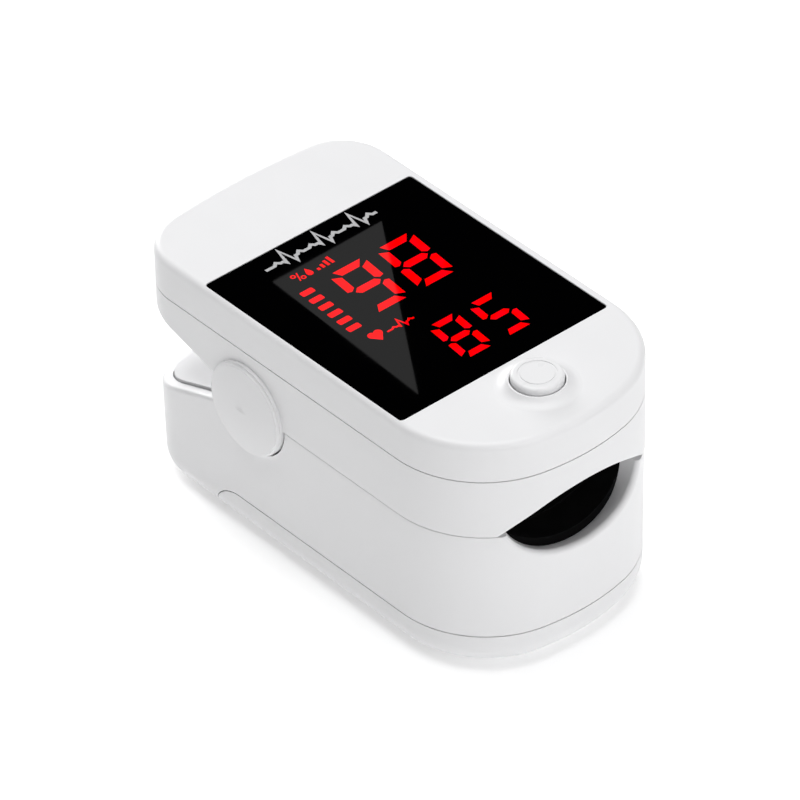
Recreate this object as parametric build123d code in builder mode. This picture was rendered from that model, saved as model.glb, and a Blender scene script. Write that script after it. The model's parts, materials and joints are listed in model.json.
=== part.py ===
from build123d import *
from math import cos, radians, sin, sqrt, tan
import os

# Fingertip pulse oximeter: a sprung clip of two jaws.  Millimetres, +Z up, origin under the
# middle of the underside.  The finger goes in at the front (-Y), the hinge is near the rear (+Y).

os.makedirs("parts", exist_ok=True)

# ---------------------------------------------------------------- driving dimensions
LENGTH = 58.0
WIDTH = 31.5
HEIGHT = 31.6
FRONT_ARC = 28.5
FRONT_CORNER = 12.5
REAR_ARC = 90.0
REAR_CORNER = 6.6
WALL = 1.5
SEAM = 0.12

COVER_SEAM_Z = 26.65
ROOF_UNDER_Z = 29.8
TOP_EDGE_RADIUS = 0.85
LIP_INSET = 2.1
LIP_DEPTH = 0.7

JAW_TOP_Z = 19.15
JAW_BOTTOM_Z = 18.95
BED_TOP_Z = 18.8
BED_UNDER_Z = 12.9

HINGE_Y = 8.8
HINGE_Z = 19.15
EAR_RADIUS = 5.75
EAR_EDGE_X = 16.45
EAR_DOME = 0.45
EAR_INNER_X = 12.9
EAR_RECESS_X = 12.6
EAR_RECESS_RADIUS = 5.95
EAR_EDGE = 0.3
UPPER_SLOPE = 15.4
UPPER_SLOPE_END_Y = 24.6
UPPER_ARC_MIDDLE = (27.3, 24.55)
UPPER_ARC_END = (29.2, 26.2)
LOWER_SLOPE = 19.8

DOOR_SEAM_Z = 5.0
DOOR_REAR_Y = 16.0
DOOR_CORNER = 4.6
BOTTOM_FILLET = 3.9
BASE_INSET = 0.31
LOWER_DRAFT = 0.75
FLOOR = 1.4
BASE_WALL = 1.8
HOUSING_CAVITY_INSET = 1.45
BED_INSET = 1.57
PANEL_RISE = 0.5
RIM_RADIUS = 0.5

MOUTH_WALL = 2.4
MOUTH_EDGE_RADIUS = 0.5
ARCH_EDGE_RADIUS = 0.25
UPPER_MOUTH_RADIUS = 15.6
UPPER_MOUTH_Z = 7.4
LOWER_MOUTH_RADIUS = 13.5
LOWER_MOUTH_Z = 28.4
# The lower jaw's mouth narrows inwards: each section is (y, half width, lowest z).
FUNNEL_SECTIONS = [(-30.0, 10.68, 15.31), (-24.0, 8.43, 12.56)]
PAD_THICKNESS = 0.95
FINGER_STOP_Y = 5.8
SENSOR_Y = -6.0
SENSOR_SLOT_WIDTH = 4.4
SENSOR_SLOT_LENGTH = 3.6

WINDOW_X = -0.35
WINDOW_Y = -0.1
WINDOW_WIDTH = 29.6
WINDOW_LENGTH = 32.5
WINDOW_THICKNESS = 1.0
WINDOW_CORNER = 0.45
WINDOW_CHAMFER = 0.08
LEDGE_SIDE = 2.8
LEDGE_END = 2.25
OPENING_CORNER = 1.5
WINDOW_GAP = 0.05
MARK_DEPTH = 0.12

BUTTON_X = -0.28
BUTTON_Y = -21.4
BUTTON_RADIUS = 2.95
BUTTON_RISE = 1.55
BUTTON_GAP = 0.13
COLLAR_RISE = 0.73
COLLAR_RIM_RADIUS = 3.38
COLLAR_EDGE = 0.11
COLLAR_WAIST_RADIUS = 4.05
COLLAR_WAIST_RISE = 0.16
COLLAR_FOOT_RADIUS = 4.85

CAVITY_FLOOR_Z = 25.0
TRAY_REAR_Y = 19.5
POST_WALL = 0.9
POST_RISE = 0.4
PCB_Z = 26.2
PCB_THICKNESS = 1.0
PCB_INSET = 2.4

SCREW_RADIUS = 0.7
SCREW_HEAD_RADIUS = 1.25
SCREW_HEAD_HEIGHT = 0.9
SCREW_HEAD_GAP = 0.1
SCREW_CROSS_WIDTH = 0.32
SCREW_CROSS_LENGTH = 1.6
SCREW_CROSS_DEPTH = 0.45
BOSS_WALL = 1.0
CASE_SCREWS = [(13.2, -14.5, 19.7), (12.2, 21.0, 23.2)]
BED_SCREWS = [(12.0, -12.5, 16.6), (11.3, 13.2, 16.3)]
BED_BOSS_LOW_Z = 10.0
BED_BOSS_HIGH_Z = 12.5

PIN_RADIUS = 1.0
PIN_CLEARANCE = 0.05
PIN_INNER_X = 6.4
PIN_OUTER_X = 14.9
PIN_END_GAP = 0.1
LUG_INNER_X = 10.4
LUG_OUTER_X = 12.4
LUG_RADIUS = 2.6
LUG_GAP = 0.35
SPRING_RADIUS = 1.75
SPRING_WIRE = 0.28
SPRING_INNER_X = 6.6
SPRING_WELL_X = 5.8
SPRING_TURNS = 4
SPRING_LEG = 8.2
UPPER_LEG_ANGLE = 25.0
LOWER_LEG_ANGLE = 28.0

BATTERY_X = 5.4
BATTERY_Z = 6.85
BATTERY_RADIUS = 5.25
BATTERY_LENGTH = 43.3
NUB_RADIUS = 1.9
NUB_LENGTH = 1.2
BAY_HALF_WIDTH = 10.8
BAY_FRONT_Y = -24.5
BAY_REAR_Y = 24.3
BAY_WALL = 1.1
BAY_TOP_Z = 12.6

FAR = 40.0
OVERSHOOT = 1.0


# ---------------------------------------------------------------- shared shapes
def case_outline(inset=0.0):
    """The case's plan outline, moved inwards by inset."""
    half = WIDTH / 2 - inset
    front_y = inset - LENGTH / 2
    rear_y = LENGTH / 2 - inset
    front_arc = FRONT_ARC - inset
    rear_arc = REAR_ARC - inset
    front_side_y = front_y + front_arc - sqrt(front_arc**2 - half**2)
    rear_side_y = rear_y - rear_arc + sqrt(rear_arc**2 - half**2)
    with BuildSketch() as outline:
        with BuildLine():
            ThreePointArc((-half, front_side_y), (0, front_y), (half, front_side_y))
            Line((half, front_side_y), (half, rear_side_y))
            ThreePointArc((half, rear_side_y), (0, rear_y), (-half, rear_side_y))
            Line((-half, rear_side_y), (-half, front_side_y))
        make_face()
        fillet(outline.vertices().group_by(Axis.Y)[0], FRONT_CORNER - inset)
        fillet(outline.vertices().group_by(Axis.Y)[-1], REAR_CORNER - inset)
    return outline.sketch


def stepped_outline(side_inset, front_inset, step_y):
    """The outline at side_inset, with a thicker wall of front_inset in front of step_y."""
    with BuildSketch() as outline:
        add(case_outline(side_inset))
        with Locations((0, step_y)):
            Rectangle(LENGTH, LENGTH, align=(Align.CENTER, Align.MIN), mode=Mode.INTERSECT)
        add(case_outline(front_inset))
    return outline.sketch


def door_profile(gap=0.0):
    """Side view of the room the battery door takes, drawn as (y, z) and grown by gap."""
    with BuildSketch() as profile:
        with Locations((-FAR, -FAR)):
            Rectangle(
                FAR + DOOR_REAR_Y + gap, FAR + DOOR_SEAM_Z + gap, align=(Align.MIN, Align.MIN)
            )
        fillet(profile.vertices().group_by(Axis.X)[-1].group_by(Axis.Y)[-1], DOOR_CORNER + gap)
    return profile.sketch


def both_sides(points):
    """Mirror (x, y) places across the middle of the object."""
    return [(side * x, y) for x, y in points for side in (-1, 1)]


# The rounded base that the door and the rear of the lower housing are both cut from.
with BuildPart() as base_core:
    with BuildSketch(Plane.XY.offset(FLOOR)):
        add(case_outline(BASE_WALL))
    extrude(amount=DOOR_SEAM_Z + SEAM - FLOOR)
    fillet(base_core.faces().sort_by(Axis.Z)[0].edges(), BOTTOM_FILLET - BASE_WALL)

with BuildPart() as base_shell:
    with BuildSketch():
        add(case_outline(BASE_INSET))
    extrude(amount=DOOR_SEAM_Z + SEAM)
    fillet(base_shell.faces().sort_by(Axis.Z)[0].edges(), BOTTOM_FILLET)
    add(base_core.part, mode=Mode.SUBTRACT)

# The room that each finger pad fills, and a slightly smaller plan for the pads themselves.
with BuildPart() as upper_pocket:
    with BuildSketch(Plane.XZ.offset(-FINGER_STOP_Y)):
        with Locations((0, UPPER_MOUTH_Z)):
            Circle(UPPER_MOUTH_RADIUS + PAD_THICKNESS + WINDOW_GAP)
    extrude(amount=FAR)
    with BuildSketch(Plane.XY.offset(JAW_TOP_Z - OVERSHOOT)):
        add(case_outline(MOUTH_WALL))
    extrude(amount=HEIGHT, mode=Mode.INTERSECT)

with BuildPart() as lower_pocket:
    with BuildSketch(Plane.XZ.offset(-FINGER_STOP_Y)):
        with Locations((0, LOWER_MOUTH_Z)):
            Circle(LOWER_MOUTH_RADIUS + PAD_THICKNESS + WINDOW_GAP)
    extrude(amount=FAR)
    with BuildSketch():
        add(case_outline(MOUTH_WALL))
    extrude(amount=JAW_BOTTOM_Z + OVERSHOOT, mode=Mode.INTERSECT)


# ---------------------------------------------------------------- top cover
with BuildPart() as top_cover:
    with BuildSketch(Plane.XY.offset(COVER_SEAM_Z + SEAM / 2)):
        add(case_outline())
    extrude(amount=HEIGHT - COVER_SEAM_Z - SEAM / 2)
    fillet(top_cover.faces().sort_by(Axis.Z)[-1].edges(), TOP_EDGE_RADIUS)
    with BuildSketch(Plane.XY.offset(COVER_SEAM_Z)):
        add(case_outline(WALL))
    extrude(amount=ROOF_UNDER_Z - COVER_SEAM_Z, mode=Mode.SUBTRACT)
    # A lip inside the seam keeps light and dust out.
    with BuildSketch(Plane.XY.offset(COVER_SEAM_Z - LIP_DEPTH)):
        add(case_outline(WALL + WINDOW_GAP))
        add(case_outline(LIP_INSET), mode=Mode.SUBTRACT)
    extrude(amount=2 * LIP_DEPTH)
    with BuildSketch(Plane.XY.offset(COVER_SEAM_Z + SEAM / 2)):
        add(case_outline(WALL / 2))
        add(case_outline(LIP_INSET), mode=Mode.SUBTRACT)
    extrude(amount=LIP_DEPTH)
    # Screw bosses reach down from the roof.
    with BuildSketch(Plane.XY.offset(COVER_SEAM_Z + SEAM / 2)):
        with Locations(*both_sides([(x, y) for x, y, z in CASE_SCREWS])):
            Circle(SCREW_RADIUS + BOSS_WALL)
            Circle(SCREW_RADIUS + WINDOW_GAP, mode=Mode.SUBTRACT)
    extrude(amount=ROOF_UNDER_Z - COVER_SEAM_Z)
    # A flared collar rises round the button.
    with BuildSketch(Plane.YZ.offset(BUTTON_X)):
        with BuildLine():
            low_z = ROOF_UNDER_Z + OVERSHOOT
            rim_z = HEIGHT + COLLAR_RISE
            rim_y = BUTTON_Y + COLLAR_RIM_RADIUS
            foot_y = BUTTON_Y + COLLAR_FOOT_RADIUS
            Polyline((rim_y - COLLAR_EDGE, rim_z), (BUTTON_Y, rim_z), (BUTTON_Y, low_z),
                     (foot_y, low_z), (foot_y, HEIGHT))
            ThreePointArc(
                (foot_y, HEIGHT),
                (BUTTON_Y + COLLAR_WAIST_RADIUS, HEIGHT + COLLAR_WAIST_RISE),
                (rim_y, rim_z - COLLAR_EDGE),
            )
            Line((rim_y, rim_z - COLLAR_EDGE), (rim_y - COLLAR_EDGE, rim_z))
        make_face()
    revolve(axis=Axis((BUTTON_X, BUTTON_Y, 0), (0, 0, 1)))
    with BuildSketch(Plane.XY.offset(ROOF_UNDER_Z - OVERSHOOT)):
        with Locations((BUTTON_X, BUTTON_Y)):
            Circle(BUTTON_RADIUS + BUTTON_GAP)
    extrude(amount=HEIGHT, mode=Mode.SUBTRACT)
    # The window lies in a recess, with an opening under it for the display.
    with BuildSketch(Plane.XY.offset(HEIGHT - WINDOW_THICKNESS - WINDOW_GAP)):
        with Locations((WINDOW_X, WINDOW_Y)):
            RectangleRounded(
                WINDOW_WIDTH + 2 * WINDOW_GAP, WINDOW_LENGTH + 2 * WINDOW_GAP, WINDOW_CORNER
            )
    extrude(amount=HEIGHT, mode=Mode.SUBTRACT)
    with BuildSketch(Plane.XY.offset(ROOF_UNDER_Z - OVERSHOOT)):
        with Locations((WINDOW_X, WINDOW_Y)):
            RectangleRounded(
                WINDOW_WIDTH - 2 * LEDGE_SIDE, WINDOW_LENGTH - 2 * LEDGE_END, OPENING_CORNER
            )
    extrude(amount=HEIGHT, mode=Mode.SUBTRACT)
top_cover.part.label = "top_cover"
export_step(top_cover.part, "parts/top_cover.step")


# ---------------------------------------------------------------- display marks
SEGMENT_GAP = 0.24


def segment_shapes(width, height, stroke):
    """Corner points of the seven bars of a digit centred on the origin, by letter."""
    right = width / 2
    top = height / 2
    gap = SEGMENT_GAP
    half = stroke / 2
    return {
        "a": [(-right + gap * 3, top), (right - gap * 2, top),
              (right - stroke - gap, top - stroke), (-right + stroke + gap, top - stroke)],
        "g": [(-right + half + gap, 0), (-right + stroke + gap, half),
              (right - stroke - gap, half), (right - half - gap, 0),
              (right - stroke - gap, -half), (-right + stroke + gap, -half)],
        "b": [(right, top - gap * 3), (right, half), (right - half, gap * 1.5),
              (right - stroke, half + gap), (right - stroke, top - stroke - gap)],
        "c": [(right, -half), (right, -top + gap * 3), (right - stroke, -top + stroke + gap),
              (right - stroke, -half - gap), (right - half, -gap * 1.5)],
    }


def digit_points(letters, width, height, stroke, slant, centre):
    """Leaning outlines of the lit bars of one digit, placed at its centre."""
    shapes = segment_shapes(width, height, stroke)
    shapes["d"] = [(x, -y) for x, y in reversed(shapes["a"])]
    shapes["f"] = [(-x, y) for x, y in reversed(shapes["b"])]
    shapes["e"] = [(-x, y) for x, y in reversed(shapes["c"])]
    return [
        [(centre[0] + x + slant * y, centre[1] + y) for x, y in shapes[letter]]
        for letter in letters
    ]


SEGMENTS_OF = {"9": "abcdfg", "8": "abcdefg", "5": "acdfg"}
LARGE = {"width": 5.1, "height": 8.7, "stroke": 1.08, "slant": 0.095}
SMALL = {"width": 4.1, "height": 7.05, "stroke": 0.9, "slant": 0.095}
READING = [
    ("9", (-2.17, 4.0), LARGE),
    ("8", (4.65, 4.0), LARGE),
    ("8", (-0.72, -9.45), SMALL),
    ("5", (4.98, -9.45), SMALL),
]
BAR_COUNT = 6
BAR_PITCH = 1.63
BAR_START_X = -8.2
BAR_START_Y = -0.55
BAR_LEAN = 0.08
BAR_WIDTH = 1.75
BAR_HEIGHT = 0.85
BAR_CORNER = 0.2
HEART_LOBES = [(-7.72, -3.02), (-6.88, -3.02)]
HEART_LOBE_RADIUS = 0.52
HEART_POINT = [(-8.17, -3.27), (-6.43, -3.27), (-7.3, -4.35)]
HEART_MIDDLE = [(-7.9, -3.3), (-7.3, -3.1), (-6.7, -3.3), (-7.3, -2.75)]
PERCENT_RINGS = [(-7.2, 10.75), (-6.35, 9.95)]
PERCENT_RING_RADIUS = 0.33
PERCENT_HOLE_RADIUS = 0.16
PERCENT_STROKE = [(-7.1, 9.65), (-6.92, 9.65), (-6.4, 11.05), (-6.58, 11.05)]

with BuildSketch(Plane.XY.offset(HEIGHT)) as lit_marks:
    for character, centre, style in READING:
        for points in digit_points(SEGMENTS_OF[character], centre=centre, **style):
            Polygon(*points, align=None)
    # A column of level bars leans with the digits.
    for step in range(BAR_COUNT):
        with Locations((BAR_START_X + BAR_LEAN * step, BAR_START_Y + BAR_PITCH * step)):
            RectangleRounded(BAR_WIDTH, BAR_HEIGHT, BAR_CORNER)
    # A heart stands beside the pulse reading.
    with Locations(*HEART_LOBES):
        Circle(HEART_LOBE_RADIUS)
    Polygon(*HEART_POINT, align=None)
    Polygon(*HEART_MIDDLE, align=None)
    # A percent sign stands above the oxygen reading.
    with Locations(*PERCENT_RINGS):
        Circle(PERCENT_RING_RADIUS)
        Circle(PERCENT_HOLE_RADIUS, mode=Mode.SUBTRACT)
    Polygon(*PERCENT_STROKE, align=None)

with BuildPart() as display_segments:
    add(lit_marks.sketch)
    extrude(amount=-MARK_DEPTH)
display_segments.part.label = "display_segments"
export_step(display_segments.part, "parts/display_segments.step")

with BuildPart() as display_window:
    with BuildSketch(Plane.XY.offset(HEIGHT)):
        with Locations((WINDOW_X, WINDOW_Y)):
            RectangleRounded(WINDOW_WIDTH, WINDOW_LENGTH, WINDOW_CORNER - WINDOW_GAP)
    extrude(amount=-WINDOW_THICKNESS)
    chamfer(display_window.faces().sort_by(Axis.Z)[-1].edges(), WINDOW_CHAMFER)
    add(display_segments.part, mode=Mode.SUBTRACT)
display_window.part.label = "display_window"
export_step(display_window.part, "parts/display_window.step")


# ---------------------------------------------------------------- power button and switch
BUTTON_TOP_Z = HEIGHT + BUTTON_RISE
BUTTON_EDGE_RADIUS = 0.4
FLANGE_TOP_Z = ROOF_UNDER_Z - 0.15
FLANGE_THICKNESS = 0.5
FLANGE_LOW_Z = FLANGE_TOP_Z - FLANGE_THICKNESS
FLANGE_RADIUS = BUTTON_RADIUS + 0.8
STEM_RADIUS = 1.1
STEM_BOTTOM_Z = 28.95
GROOVE_RADIUS = 2.05
GROOVE_HALF_WIDTH = 0.14
GROOVE_DEPTH = 0.06

with BuildPart() as power_button:
    with BuildSketch(Plane.XY.offset(FLANGE_LOW_Z)):
        with Locations((BUTTON_X, BUTTON_Y)):
            Circle(BUTTON_RADIUS)
    extrude(amount=BUTTON_TOP_Z - FLANGE_LOW_Z)
    fillet(power_button.faces().sort_by(Axis.Z)[-1].edges(), BUTTON_EDGE_RADIUS)
    with BuildSketch(Plane.XY.offset(FLANGE_LOW_Z)):
        with Locations((BUTTON_X, BUTTON_Y)):
            Circle(FLANGE_RADIUS)
    extrude(amount=FLANGE_THICKNESS)
    with BuildSketch(Plane.XY.offset(STEM_BOTTOM_Z)):
        with Locations((BUTTON_X, BUTTON_Y)):
            Circle(STEM_RADIUS)
    extrude(amount=FLANGE_TOP_Z - STEM_BOTTOM_Z)
    # A ring groove shows where to press.
    with BuildSketch(Plane.XY.offset(BUTTON_TOP_Z)):
        with Locations((BUTTON_X, BUTTON_Y)):
            Circle(GROOVE_RADIUS + GROOVE_HALF_WIDTH)
            Circle(GROOVE_RADIUS - GROOVE_HALF_WIDTH, mode=Mode.SUBTRACT)
    extrude(amount=-GROOVE_DEPTH, mode=Mode.SUBTRACT)
power_button.part.label = "power_button"
export_step(power_button.part, "parts/power_button.step")

PCB_TOP_Z = PCB_Z + PCB_THICKNESS
SWITCH_TOP_Z = PCB_TOP_Z + 1.2
SWITCH_WELL = 1.0
PLUNGER_RADIUS = 0.9
PLUNGER_LENGTH = 1.0
PLUNGER_GAP = 0.1
SWITCH_WIDTH = 4.6
SWITCH_CORNER = 0.4
SWITCH_CHAMFER = 0.15
SWITCH_FEET_ACROSS = 5.0
SWITCH_FEET_ALONG = 3.0

with BuildPart() as switch_plunger:
    with BuildSketch(Plane.XY.offset(STEM_BOTTOM_Z)):
        with Locations((BUTTON_X, BUTTON_Y)):
            Circle(PLUNGER_RADIUS)
    extrude(amount=-PLUNGER_LENGTH)
    chamfer(switch_plunger.faces().sort_by(Axis.Z)[0].edges(), PLUNGER_GAP)
switch_plunger.part.label = "switch_plunger"
export_step(switch_plunger.part, "parts/switch_plunger.step")

with BuildPart() as tact_switch:
    with BuildSketch(Plane.XY.offset(PCB_TOP_Z)):
        with Locations((BUTTON_X, BUTTON_Y)):
            RectangleRounded(SWITCH_WIDTH, SWITCH_WIDTH, SWITCH_CORNER)
    extrude(amount=SWITCH_TOP_Z - PCB_TOP_Z)
    chamfer(tact_switch.faces().sort_by(Axis.Z)[-1].edges(), SWITCH_CHAMFER)
    with BuildSketch(Plane.XY.offset(SWITCH_TOP_Z)):
        with Locations((BUTTON_X, BUTTON_Y)):
            Circle(PLUNGER_RADIUS + PLUNGER_GAP)
    extrude(amount=-SWITCH_WELL, mode=Mode.SUBTRACT)
    # Four solder feet, one at each corner.
    with BuildSketch(Plane.XY.offset(PCB_TOP_Z)):
        with Locations((BUTTON_X, BUTTON_Y)):
            with GridLocations(SWITCH_FEET_ACROSS, SWITCH_FEET_ALONG, 2, 2):
                Rectangle(0.9, 0.7)
    extrude(amount=0.25)
tact_switch.part.label = "tact_switch"
export_step(tact_switch.part, "parts/tact_switch.step")


# ---------------------------------------------------------------- circuit board and display
FLEX_WIDTH = 3.6
FLEX_THICKNESS = 0.3
FLEX_SLOT_LENGTH = 1.9
FLEX_SLOT_WIDTH = FLEX_WIDTH + 0.8
PCB_MIDDLE_Y = -3.0
PCB_LENGTH = 44.0
PCB_HOLES = [(-5.0, 17.0), (5.0, 17.0)]
PCB_HOLE_RADIUS = 0.8
PCB_SCREW_GAP = 1.3
MODULE_WIDTH = 23.0
MODULE_LENGTH = 26.5
MODULE_CORNER = 0.8
MODULE_CHAMFER = 0.3
MODULE_GAP = 0.15
PIN_PITCH = 2.54
PINS_PER_ROW = 8
ROW_SPACING = 27.0

with BuildPart() as main_pcb:
    with BuildSketch(Plane.XY.offset(PCB_Z)):
        add(case_outline(PCB_INSET))
        with Locations((0, PCB_MIDDLE_Y)):
            Rectangle(WIDTH, PCB_LENGTH, mode=Mode.INTERSECT)
        with Locations(*both_sides([(x, y) for x, y, z in CASE_SCREWS])):
            Circle(SCREW_RADIUS + PCB_SCREW_GAP, mode=Mode.SUBTRACT)
        with Locations(*PCB_HOLES):
            Circle(PCB_HOLE_RADIUS, mode=Mode.SUBTRACT)
    extrude(amount=PCB_THICKNESS)
main_pcb.part.label = "main_pcb"
export_step(main_pcb.part, "parts/main_pcb.step")

with BuildPart() as display_module:
    with BuildSketch(Plane.XY.offset(PCB_TOP_Z)):
        with Locations((WINDOW_X, WINDOW_Y)):
            RectangleRounded(MODULE_WIDTH, MODULE_LENGTH, MODULE_CORNER)
    extrude(amount=HEIGHT - WINDOW_THICKNESS - MODULE_GAP - PCB_TOP_Z)
    chamfer(display_module.faces().sort_by(Axis.Z)[-1].edges(), MODULE_CHAMFER)
    # Two rows of solder pins run along the short ends.
    with BuildSketch(Plane.XY.offset(PCB_TOP_Z)):
        with Locations((WINDOW_X, WINDOW_Y)):
            with GridLocations(PIN_PITCH, ROW_SPACING, PINS_PER_ROW, 2):
                Rectangle(0.6, 0.9)
    extrude(amount=0.35)
display_module.part.label = "display_module"
export_step(display_module.part, "parts/display_module.step")


def chip(name, x, y, z, width, length, height, pin_count):
    """A flat package with a row of gull-wing feet along each long side."""
    with BuildPart() as package:
        with BuildSketch(Plane.XY.offset(z)):
            with Locations((x, y)):
                RectangleRounded(width, length, 0.2)
        extrude(amount=height)
        with BuildSketch(Plane.XY.offset(z + height / 2)):
            with Locations((x, y)):
                with GridLocations(width + 0.6, (length - 0.6) / (pin_count - 1), 2, pin_count):
                    Rectangle(0.9, 0.3)
        extrude(amount=0.2)
    package.part.label = name
    export_step(package.part, f"parts/{name}.step")


chip("control_chip", 6.2, -17.6, PCB_TOP_Z, 4.2, 5.0, 1.0, 8)
chip("power_chip", -6.4, -17.8, PCB_TOP_Z, 3.0, 3.6, 0.9, 4)


# ---------------------------------------------------------------- upper frame with hinge ears
with BuildPart() as upper_frame:
    with BuildSketch(Plane.XY.offset(JAW_TOP_Z)):
        add(case_outline())
    extrude(amount=COVER_SEAM_Z - SEAM / 2 - JAW_TOP_Z)
    # Behind the hinge the underside climbs and rounds up towards the seam.
    with BuildSketch(Plane.YZ):
        with BuildLine():
            slope_run = UPPER_SLOPE_END_Y - HINGE_Y
            slope_end = (UPPER_SLOPE_END_Y, JAW_TOP_Z + slope_run * tan(radians(UPPER_SLOPE)))
            Line((HINGE_Y, JAW_TOP_Z), slope_end)
            ThreePointArc(slope_end, UPPER_ARC_MIDDLE, UPPER_ARC_END)
            Polyline(
                UPPER_ARC_END, (FAR, UPPER_ARC_END[1]), (FAR, JAW_TOP_Z - OVERSHOOT),
                (HINGE_Y, JAW_TOP_Z - OVERSHOOT), (HINGE_Y, JAW_TOP_Z),
            )
        make_face()
    extrude(amount=FAR, both=True, mode=Mode.SUBTRACT)
    # The finger's mouth, then the pocket for the soft pad.
    with BuildSketch(Plane.XZ.offset(LENGTH / 2 - 2 * MOUTH_WALL)):
        with Locations((0, UPPER_MOUTH_Z)):
            Circle(UPPER_MOUTH_RADIUS)
    extrude(amount=FAR, mode=Mode.SUBTRACT)
    arch_edges = upper_frame.edges().filter_by(
        lambda edge: edge.center().Y < MOUTH_WALL - LENGTH / 2 and edge.center().Z > JAW_TOP_Z + 1
        and edge.center().Z < COVER_SEAM_Z - 1
    )
    fillet(arch_edges, ARCH_EDGE_RADIUS)
    add(upper_pocket.part, mode=Mode.SUBTRACT)
    # The electronics lie in a tray on top, which follows the sloping rear.
    with BuildSketch(Plane.XY.offset(CAVITY_FLOOR_Z)):
        add(case_outline(WALL))
        with Locations((0, TRAY_REAR_Y)):
            Rectangle(FAR, 2 * FAR, align=(Align.CENTER, Align.MAX), mode=Mode.INTERSECT)
    extrude(amount=HEIGHT, mode=Mode.SUBTRACT)
    with BuildSketch(Plane.XY.offset(COVER_SEAM_Z - LIP_DEPTH - WINDOW_GAP)):
        add(case_outline(WALL))
    extrude(amount=HEIGHT, mode=Mode.SUBTRACT)
    # Screw posts stand on the tray, and each screw's head sinks into a well from below.
    with BuildSketch(Plane.XY.offset(CAVITY_FLOOR_Z - POST_RISE)):
        with Locations(*both_sides([(x, y) for x, y, z in CASE_SCREWS])):
            Circle(SCREW_RADIUS + POST_WALL)
        add(case_outline(LIP_INSET + WINDOW_GAP), mode=Mode.INTERSECT)
    extrude(amount=PCB_Z - CAVITY_FLOOR_Z + POST_RISE)
    for x, y, head_z in CASE_SCREWS:
        with BuildSketch(Plane.XY.offset(head_z + SCREW_HEAD_HEIGHT)):
            with Locations(*both_sides([(x, y)])):
                Circle(SCREW_HEAD_RADIUS + SCREW_HEAD_GAP)
        extrude(amount=-HEIGHT, mode=Mode.SUBTRACT)
        with BuildSketch(Plane.XY.offset(JAW_TOP_Z)):
            with Locations(*both_sides([(x, y)])):
                Circle(SCREW_RADIUS + WINDOW_GAP)
        extrude(amount=HEIGHT, mode=Mode.SUBTRACT)
    # Round room for the lugs and springs, a window for the emitter and a slot for the ribbon.
    for side in (-1, 1):
        with BuildSketch(Plane.YZ.offset(side * SPRING_WELL_X)):
            with Locations((HINGE_Y, HINGE_Z)):
                Circle(LUG_RADIUS + LUG_GAP)
        extrude(amount=side * (EAR_INNER_X - 0.2 - SPRING_WELL_X), mode=Mode.SUBTRACT)
    with BuildSketch(Plane.XY.offset(JAW_TOP_Z)):
        with Locations((0, SENSOR_Y)):
            Rectangle(SENSOR_SLOT_WIDTH, SENSOR_SLOT_LENGTH)
        with Locations((0, HINGE_Y)):
            Rectangle(FLEX_SLOT_WIDTH, FLEX_SLOT_LENGTH)
    extrude(amount=HEIGHT, mode=Mode.SUBTRACT)
    # Hinge ears: shallow domed discs outside the case, with blind holes for the pins.
    for side in (-1, 1):
        with BuildSketch(Plane.YZ.offset(side * EAR_INNER_X)):
            with Locations((HINGE_Y, HINGE_Z)):
                Circle(EAR_RADIUS)
        extrude(amount=side * (EAR_EDGE_X - EAR_EDGE - EAR_INNER_X))
        with BuildSketch(Plane.XY.offset(HINGE_Z)):
            with BuildLine():
                rim_x = side * (EAR_EDGE_X - EAR_EDGE)
                rim_y = HINGE_Y + EAR_RADIUS
                crown = (side * (EAR_EDGE_X + EAR_DOME), HINGE_Y)
                dome_end = (side * EAR_EDGE_X, rim_y - EAR_EDGE)
                Line((rim_x, HINGE_Y), crown)
                TangentArc(crown, dome_end, tangent=(0, 1))
                RadiusArc(dome_end, (rim_x, rim_y), side * EAR_EDGE)
                Line((rim_x, rim_y), (rim_x, HINGE_Y))
            make_face()
        revolve(axis=Axis((0, HINGE_Y, HINGE_Z), (1, 0, 0)))
        with BuildSketch(Plane.YZ.offset(side * LUG_OUTER_X)):
            with Locations((HINGE_Y, HINGE_Z)):
                Circle(PIN_RADIUS)
        extrude(amount=side * (PIN_OUTER_X + PIN_END_GAP - LUG_OUTER_X), mode=Mode.SUBTRACT)
upper_frame.part.label = "upper_frame"
export_step(upper_frame.part, "parts/upper_frame.step")


# ---------------------------------------------------------------- soft finger pads
RIB_HEIGHT = 0.25
RIB_WIDTH = 0.6
RIB_PLACES = [-22.0, -18.0, -14.0, 0.0, 3.5]
UPPER_PAD_LOW_Z = JAW_TOP_Z + 0.25
LOWER_PAD_HIGH_Z = JAW_BOTTOM_Z - 0.35
PAD_HOLE_WIDTH = 5.0
PAD_HOLE_LENGTH = 4.2
PAD_HOLE_CORNER = 1.2
PAD_FLANGE_THICKNESS = 0.8
PAD_FLANGE_LOW_Z = BAY_TOP_Z + 0.2
PAD_FLANGE_HALF_WIDTH = 9.6


def pad_ribs(centre_z, radius, side, plane_y):
    """A thin raised ring across a pad, which stops the finger from slipping."""
    with BuildPart() as rib:
        with BuildSketch(Plane.XZ.offset(-plane_y)):
            with Locations((0, centre_z)):
                Circle(radius)
                Circle(radius - RIB_HEIGHT, mode=Mode.SUBTRACT)
            with Locations((0, centre_z)):
                Rectangle(
                    FAR, FAR, align=(Align.CENTER, Align.MIN if side > 0 else Align.MAX),
                    mode=Mode.INTERSECT,
                )
        extrude(amount=RIB_WIDTH)
    return rib.part


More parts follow.
